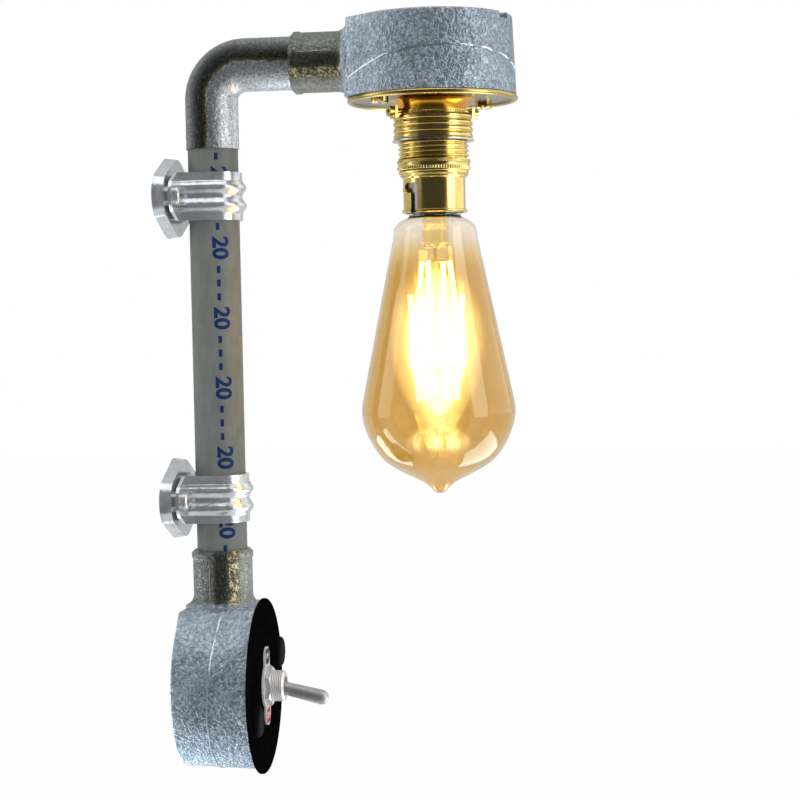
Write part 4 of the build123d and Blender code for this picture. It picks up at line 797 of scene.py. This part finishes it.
def mesh_of(curve):
    """The mesh of a curve or a text, with nothing else left behind."""
    holder = bpy.data.objects.new("curve_holder", curve)
    scene.collection.objects.link(holder)
    mesh = bpy.data.meshes.new_from_object(holder.evaluated_get(bpy.context.evaluated_depsgraph_get()))
    bpy.data.objects.remove(holder)
    return mesh


def seam(name, points, radius, material):
    """A low raised line where the two halves of the mould met."""
    curve = bpy.data.curves.new(name, "CURVE")
    curve.dimensions = "3D"
    curve.bevel_depth = radius * MM
    curve.bevel_resolution = 2
    spline = curve.splines.new("POLY")
    spline.points.add(len(points) - 1)
    for n, (point, (x, y, z)) in enumerate(zip(spline.points, points)):
        point.co = (x * MM, y * MM, z * MM, 1)
        point.radius = 0.70 + 0.30 * wave(n * 0.5, radius * 9)
    mesh = mesh_of(curve)
    mesh.polygons.foreach_set("use_smooth", [True] * len(mesh.polygons))
    add_piece(name, mesh, material, "fixture")


def side_name(side):
    return "left" if side < 0 else "right"


def elbow_seams():
    """Both sides of the elbow, following its centre line."""
    run = ELBOW_LEG - ELBOW_BEND
    arc = ELBOW_BEND * pi / 2
    middle_y, middle_z = CONDUIT_AXIS - ELBOW_BEND, ARM_HEIGHT - ELBOW_BEND
    for side in (-1, 1):
        path = []
        for t in spaced(0.0, 2 * run + arc, 150):
            off = 0.55 * wave(t / 6.0, side + 2)
            if t < run:
                y, z, out_y, out_z = CONDUIT_AXIS, ARM_HEIGHT - ELBOW_LEG + t, 1.0, 0.0
            elif t < run + arc:
                a = (t - run) / ELBOW_BEND
                y, z = middle_y + ELBOW_BEND * cos(a), middle_z + ELBOW_BEND * sin(a)
                out_y, out_z = cos(a), sin(a)
            else:
                y, z, out_y, out_z = middle_y - (t - run - arc), ARM_HEIGHT, 0.0, 1.0
            path.append((side * sqrt(ELBOW_R**2 - off * off), y + out_y * off, z + out_z * off))
        seam(f"elbow_seam_{side_name(side)}", path, 0.22, "elbow")


def level_through(bearing, levels):
    """The height of a smooth curve through three levels, at their bearings in degrees from the spout."""
    at = (36, 93, 153)
    height = 0.0
    for i, level in enumerate(levels):
        j, k = at[i - 1], at[i - 2]
        height += level * (bearing - j) * (bearing - k) / ((at[i] - j) * (at[i] - k))
    return height


def box_seams():
    """The parting line round each box and along both sides of its spout."""
    first, sweep = 27, 306     # degrees round the box from its spout
    flare = (BOX_FRONT_R - BOX_BACK_R) / (2 * BOX_HALF_DEPTH)
    for name, centre, along, out, levels in (
        ("lamp_box", Vector((0, LAMP_AXIS, ARM_HEIGHT)), Vector((0, 1, 0)), Vector((0, 0, -1)),
         (6.3, -0.9, 1.6)),
        ("switch_box", Vector((0, CONDUIT_AXIS, SWITCH_HEIGHT)), Vector((0, 0, 1)), Vector((0, -1, 0)),
         (1.8, -0.4, -0.8)),
    ):
        across = out.cross(along)
        ring = []
        for a in spaced(first, first + sweep, 260):
            b = min(a, 360 - a)
            level = level_through(b, levels) + 0.2 * wave(radians(b) * 3, 1.0)
            # Towards the spout the wall runs straight from the circle to the spout's pad.
            r = (BOX_BACK_R + flare * (level + BOX_HALF_DEPTH)) / cos(radians(max(0.0, 47 - b)))
            ring.append(centre + along * (r * cos(radians(a))) + across * (r * sin(radians(a))) + out * level)
        seam(f"{name}_seam", ring, 0.5, "cast_seam")
        for side in (-1, 1):
            line = []
            for t in spaced(SPOUT_START, SPOUT_END, 29):
                off = -3.0 + 0.2 * wave(t / 3, side)
                line.append(centre + along * t + across * (side * sqrt(SPOUT_R**2 - off * off)) + out * off)
            seam(f"{name}_spout_seam_{side_name(side)}", line, 0.2, "bright_seam")


# ---------------------------------------------------------------- print
def flat_text(body, size, bold):
    """Mesh of a line of text lying in XY, centred on the origin, thick along Z."""
    curve = bpy.data.curves.new("text", "FONT")
    curve.body = body
    curve.size = size
    curve.align_x = "CENTER"
    curve.align_y = "CENTER"
    curve.offset = bold
    curve.resolution_u = 4
    return mesh_of(curve)


def sliced(mesh, step, low, high, normal):
    """Cuts a flat mesh across so that it can be bent."""
    work = bmesh.new()
    work.from_mesh(mesh)
    at = low
    while at < high:
        geometry = list(work.verts) + list(work.edges) + list(work.faces)
        bmesh.ops.bisect_plane(work, geom=geometry, plane_co=Vector(normal) * at, plane_no=normal)
        at += step
    work.to_mesh(mesh)
    work.free()


def conduit_print():
    """Size marks down the conduit, wrapped on it: the tube's diameter and dashes."""
    words = "- 20 - - - 20 - - - 20 - - - 20 - - - 20 - - - 20 -"
    middle = radians(203)      # where the line of print lies round the tube
    run = 158.0                # how far it runs down the tube
    centre = -2.0              # height of its middle
    radius = CONDUIT_R + 0.03
    mesh = flat_text(words, 8.8, 0.30)
    sliced(mesh, 0.7, -5.0, 5.0, (0, 1, 0))
    length = max(v.co.x for v in mesh.vertices) - min(v.co.x for v in mesh.vertices)
    for v in mesh.vertices:
        angle = middle + v.co.y / radius
        along = v.co.x * run / length
        v.co = Vector((radius * MM * cos(angle), CONDUIT_Y + radius * MM * sin(angle), (centre - along) * MM))
    mesh.update()
    add_piece("conduit_print", mesh, "blue_ink", "fixture")


def tag_print():
    """ON and OFF on the tag's tabs, facing away from the wall."""
    face = TAG_FACE - 0.02
    for name, word, z, size in (("tag_on", "ON", -LEGEND_OFF, 3.3), ("tag_off", "OFF", LEGEND_OFF, 2.6)):
        mesh = flat_text(word, size, 0.08)
        for v in mesh.vertices:
            v.co = Vector((v.co.x * MM, face * MM, SWITCH_Z + (z + v.co.y) * MM))
        mesh.update()
        add_piece(name, mesh, "white_ink", "fixture")


# ---------------------------------------------------------------- studio
def make_world():
    """Pale surroundings; polished metal also sees the dark room behind the camera."""
    world = bpy.data.worlds.new("studio")
    scene.world = world
    world.use_nodes = True
    w = Tree(world.node_tree)
    w.tree.nodes.clear()

    def between(value, low, high, soft):
        return w.times(w.span(value, low - soft, low + soft, 0.0, 1.0, True),
                       w.span(value, high - soft, high + soft, 1.0, 0.0, True))

    ahead_x, ahead_y = -0.991, -0.129      # towards the camera
    x, y, z = w.parts(w.add("ShaderNodeTexCoord").outputs["Generated"])
    ahead = w.plus(w.times(x, ahead_x), w.times(y, ahead_y))
    beside = w.plus(w.times(x, -ahead_y), w.times(y, ahead_x))
    bearing = w.math("ARCTAN2", beside, ahead)
    walls = 0.60
    # Bearings in degrees from the camera, to its right.
    for low, high, soft, gain in (
        (-76, 48, 4, -0.28),       # a dim room
        (-50, 48, 3, -0.27),       # its dark middle
        (48, 138, 4, 0.75),        # a wide bright window on the right
        (-114, -76, 4, 0.40),      # a narrower one on the left
    ):
        walls = w.plus(walls, w.times(between(bearing, radians(low), radians(high), radians(soft)), gain))
    up_and_down = 0.30
    seen = w.choose(between(z, -0.80, 0.90, 0.08), walls, up_and_down)
    path = w.add("ShaderNodeLightPath")
    white = w.math("MAXIMUM", path.outputs["Is Camera Ray"], path.outputs["Is Transmission Ray"])
    plain = 0.66
    level = w.choose(path.outputs["Is Glossy Ray"], seen, plain)
    background = w.add("ShaderNodeBackground")
    background.inputs["Color"].default_value = (1, 1, 1, 1)
    w.link(w.choose(white, 1.0, level), background.inputs["Strength"])
    w.link(background.outputs[0], w.add("ShaderNodeOutputWorld").inputs[0])


def area(name, place, aim, size, power, colour=(1, 1, 1)):
    """A rectangular lamp at a place, turned to what it lights."""
    data = bpy.data.lights.new(name, "AREA")
    data.shape = "RECTANGLE"
    data.size, data.size_y = size
    data.energy = power
    data.color = colour
    light = bpy.data.objects.new(name, data)
    place, aim = Vector(place), Vector(aim)
    turn = (place - aim).to_track_quat("Z", "Y").to_matrix().to_4x4()
    light.matrix_world = Matrix.Translation(place) @ turn
    scene.collection.objects.link(light)
    return light


def make_lamps():
    """Three soft boxes, and two low lamps that show as pale windows in the foot of the glass."""
    middle = (0, -0.07, -0.02)
    area("left_softbox", (-0.14, 1.02, 0.25), middle, (0.5, 0.9), 1.3)
    area("right_softbox", (-0.34, -1.12, 0.20), middle, (0.5, 0.9), 3.2)
    area("top_softbox", (-0.15, -0.05, 0.95), middle, (0.8, 0.8), 3.0)
    for name, place in (("low_left", (0.070, 0.145, -0.270)), ("low_right", (0.120, -0.312, -0.292))):
        light = area(name, place, (0, LAMP_Y, -0.042), (0.26, 0.24), 0.85, (0.72, 0.87, 1.0))
        light.visible_diffuse = False
        light.visible_camera = False


def make_floor():
    """A floor that looks white, a little less so where the light's shadow lies."""
    height = -0.42
    bpy.ops.mesh.primitive_plane_add(size=1, location=(2.75, 0, height))
    floor = bpy.context.object
    floor.scale = (6, 8, 1)
    floor.name = "floor"
    s = Shader("floor")
    s.feed("Base Color", s.ramp(s.noise(3), (0.3, (0.82, 0.82, 0.82)), (0.7, (0.86, 0.86, 0.86))))
    s.set(Roughness=0.8)
    light = s.add("ShaderNodeEmission")
    light.inputs["Color"].default_value = (1, 1, 1, 1)
    mix = s.add("ShaderNodeMixShader")
    path = s.add("ShaderNodeLightPath")
    white, mirrored = 0.985, 0.35      # how much of it shines when seen directly and in gloss
    seen = s.math("MAXIMUM", path.outputs["Is Camera Ray"], path.outputs["Is Transmission Ray"])
    share = s.math("MAXIMUM", s.times(seen, white), s.times(path.outputs["Is Glossy Ray"], mirrored))
    s.link(share, mix.inputs["Fac"])
    s.link(s.principled.outputs[0], mix.inputs[1])
    s.link(light.outputs[0], mix.inputs[2])
    s.link(mix.outputs[0], s.output.inputs["Surface"])
    floor.data.materials.append(s.material)


scene.view_settings.view_transform = "Standard"
make_camera()
make_world()
make_lamps()
make_floor()
dress_nodes()
barrel_thread()
union_knurl()
knurled_ring()
bush_thread()
glow_shells()
elbow_seams()
box_seams()
conduit_print()
tag_print()
